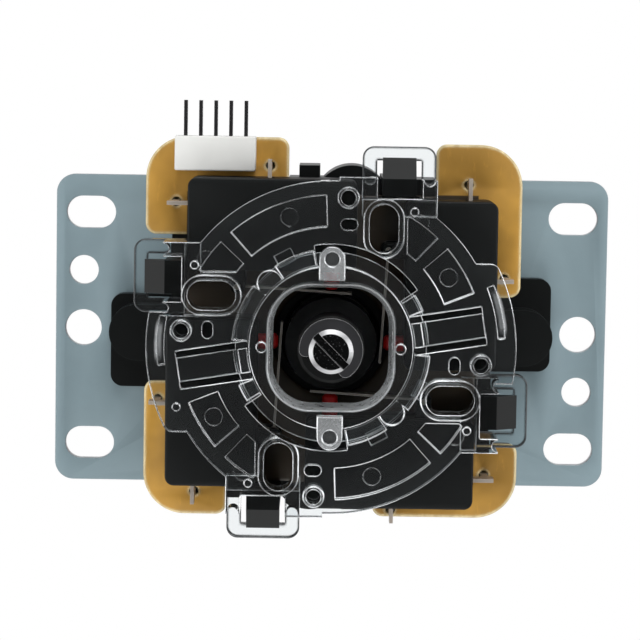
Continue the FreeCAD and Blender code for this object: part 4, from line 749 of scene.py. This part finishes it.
class JOYSTICK_OT_stage(Operator):
    """Set the camera, floor, surround and lights"""

    bl_idname = "joystick.stage"
    bl_label = "Stage"

    def execute(self, context):
        stage = context.scene.joystick_stage
        self.set_camera(context.scene, stage)
        self.set_surround(context.scene, stage)
        self.lay_floor(stage)
        self.hang_lights()
        context.scene.view_settings.view_transform = "Standard"
        context.scene.cycles.caustics_refractive = False
        return {"FINISHED"}

    @staticmethod
    def set_camera(scene, stage):
        tilt = abs(stage.elevation)
        forward = Vector((0.0, math.cos(tilt), math.sin(tilt)))
        plain_up = Vector((0.0, -math.sin(tilt), math.cos(tilt)))
        up = Matrix.Rotation(-stage.roll, 3, forward) @ plain_up
        across = forward.cross(up)
        plate = Vector((0.0, 0.0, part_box("mounting_plate")[0].z))
        middle = plate - across * (stage.axis_x * stage.pixel) + up * (stage.axis_y * stage.pixel)
        data = bpy.data.cameras.new("camera")
        data.lens = data.sensor_width * stage.distance / (PICTURE_PIXELS * stage.pixel)
        data.clip_start = 0.01
        camera = bpy.data.objects.new("camera", data)
        turn = Matrix((across, up, -forward)).transposed()
        camera.matrix_world = Matrix.Translation(middle - forward * stage.distance) @ turn.to_4x4()
        scene.collection.objects.link(camera)
        scene.camera = camera

    @staticmethod
    def set_surround(scene, stage):
        world = bpy.data.worlds.new("surround")
        world.use_nodes = True
        tree = Tree(world.node_tree)
        direction = tree.add("ShaderNodeTexCoord").outputs["Generated"]
        height = Value(tree, tree.add("ShaderNodeSeparateXYZ", sockets={0: direction}).outputs[2])
        glow = stage.surround * (stage.horizon + (1 - stage.horizon) * height.step(0.85, 0.95))
        backdrop = world.node_tree.nodes["Background"]
        backdrop.inputs[0].default_value = (1.0, 1.0, 1.0, 1.0)
        tree.fill(backdrop.inputs[1], glow)
        scene.world = world

    @staticmethod
    def lay_floor(stage):
        bm = bmesh.new()
        bmesh.ops.create_grid(bm, x_segments=1, y_segments=1, size=FLOOR_HALF)
        bmesh.ops.translate(bm, verts=bm.verts, vec=(0.0, 0.0, -stage.floor_depth))
        mesh = bpy.data.meshes.new("floor")
        bm.to_mesh(mesh)
        bm.free()
        floor = new_piece("floor", mesh)
        finish = Finish("floor_paint", Base_Color=(*stage.floor, 1.0))
        finish.set(Roughness=0.7 + 0.2 * finish.noise(3.0))
        dress(floor, finish.material)

    @staticmethod
    def hang_lights():
        for name, x, y, power in (
            ("left_softbox", -0.72, 0.1, 1.6),
            ("right_softbox", 0.72, -0.1, 1.6),
            ("front_softbox", 0.05, -0.72, 1.85),
            ("back_softbox", 0.0, 0.72, 1.55),
        ):
            data = bpy.data.lights.new(name, "AREA")
            data.size = LAMP_SIZE
            data.spread = LAMP_SPREAD
            data.energy = power
            light = bpy.data.objects.new(name, data)
            light.location = (x, y, LAMP_Z)
            light.rotation_euler = light.location.to_track_quat("Z", "Y").to_euler()
            bpy.context.scene.collection.objects.link(light)


class JOYSTICK_PT_panel(Panel):
    """Lists the joystick's pieces"""

    bl_label = "Joystick"
    bl_idname = "JOYSTICK_PT_panel"
    bl_space_type = "VIEW_3D"
    bl_region_type = "UI"
    bl_category = "Joystick"

    def draw(self, context):
        for step in STEPS:
            self.layout.operator(step.bl_idname)
        scene = context.scene
        for settings in (scene.joystick_finish, scene.joystick_detail, scene.joystick_stage):
            box = self.layout.box()
            for key in settings.__annotations__:
                box.prop(settings, key)


STEPS = (
    JOYSTICK_OT_mounting_plate,
    JOYSTICK_OT_base_housing,
    JOYSTICK_OT_circuit_board,
    JOYSTICK_OT_switches,
    JOYSTICK_OT_clear_gate,
    JOYSTICK_OT_shaft,
    JOYSTICK_OT_ball_top,
    JOYSTICK_OT_stage,
)
CLASSES = (JoystickFinish, JoystickDetail, JoystickStage) + STEPS + (JOYSTICK_PT_panel,)


def register():
    for item in CLASSES:
        bpy.utils.register_class(item)
    bpy.types.Scene.joystick_finish = PointerProperty(type=JoystickFinish)
    bpy.types.Scene.joystick_detail = PointerProperty(type=JoystickDetail)
    bpy.types.Scene.joystick_stage = PointerProperty(type=JoystickStage)


def unregister():
    del bpy.types.Scene.joystick_stage
    del bpy.types.Scene.joystick_detail
    del bpy.types.Scene.joystick_finish
    for item in reversed(CLASSES):
        bpy.utils.unregister_class(item)


def main():
    register()
    for step in STEPS:
        group, name = step.bl_idname.split(".")
        getattr(getattr(bpy.ops, group), name)()


if __name__ == "__main__":
    main()
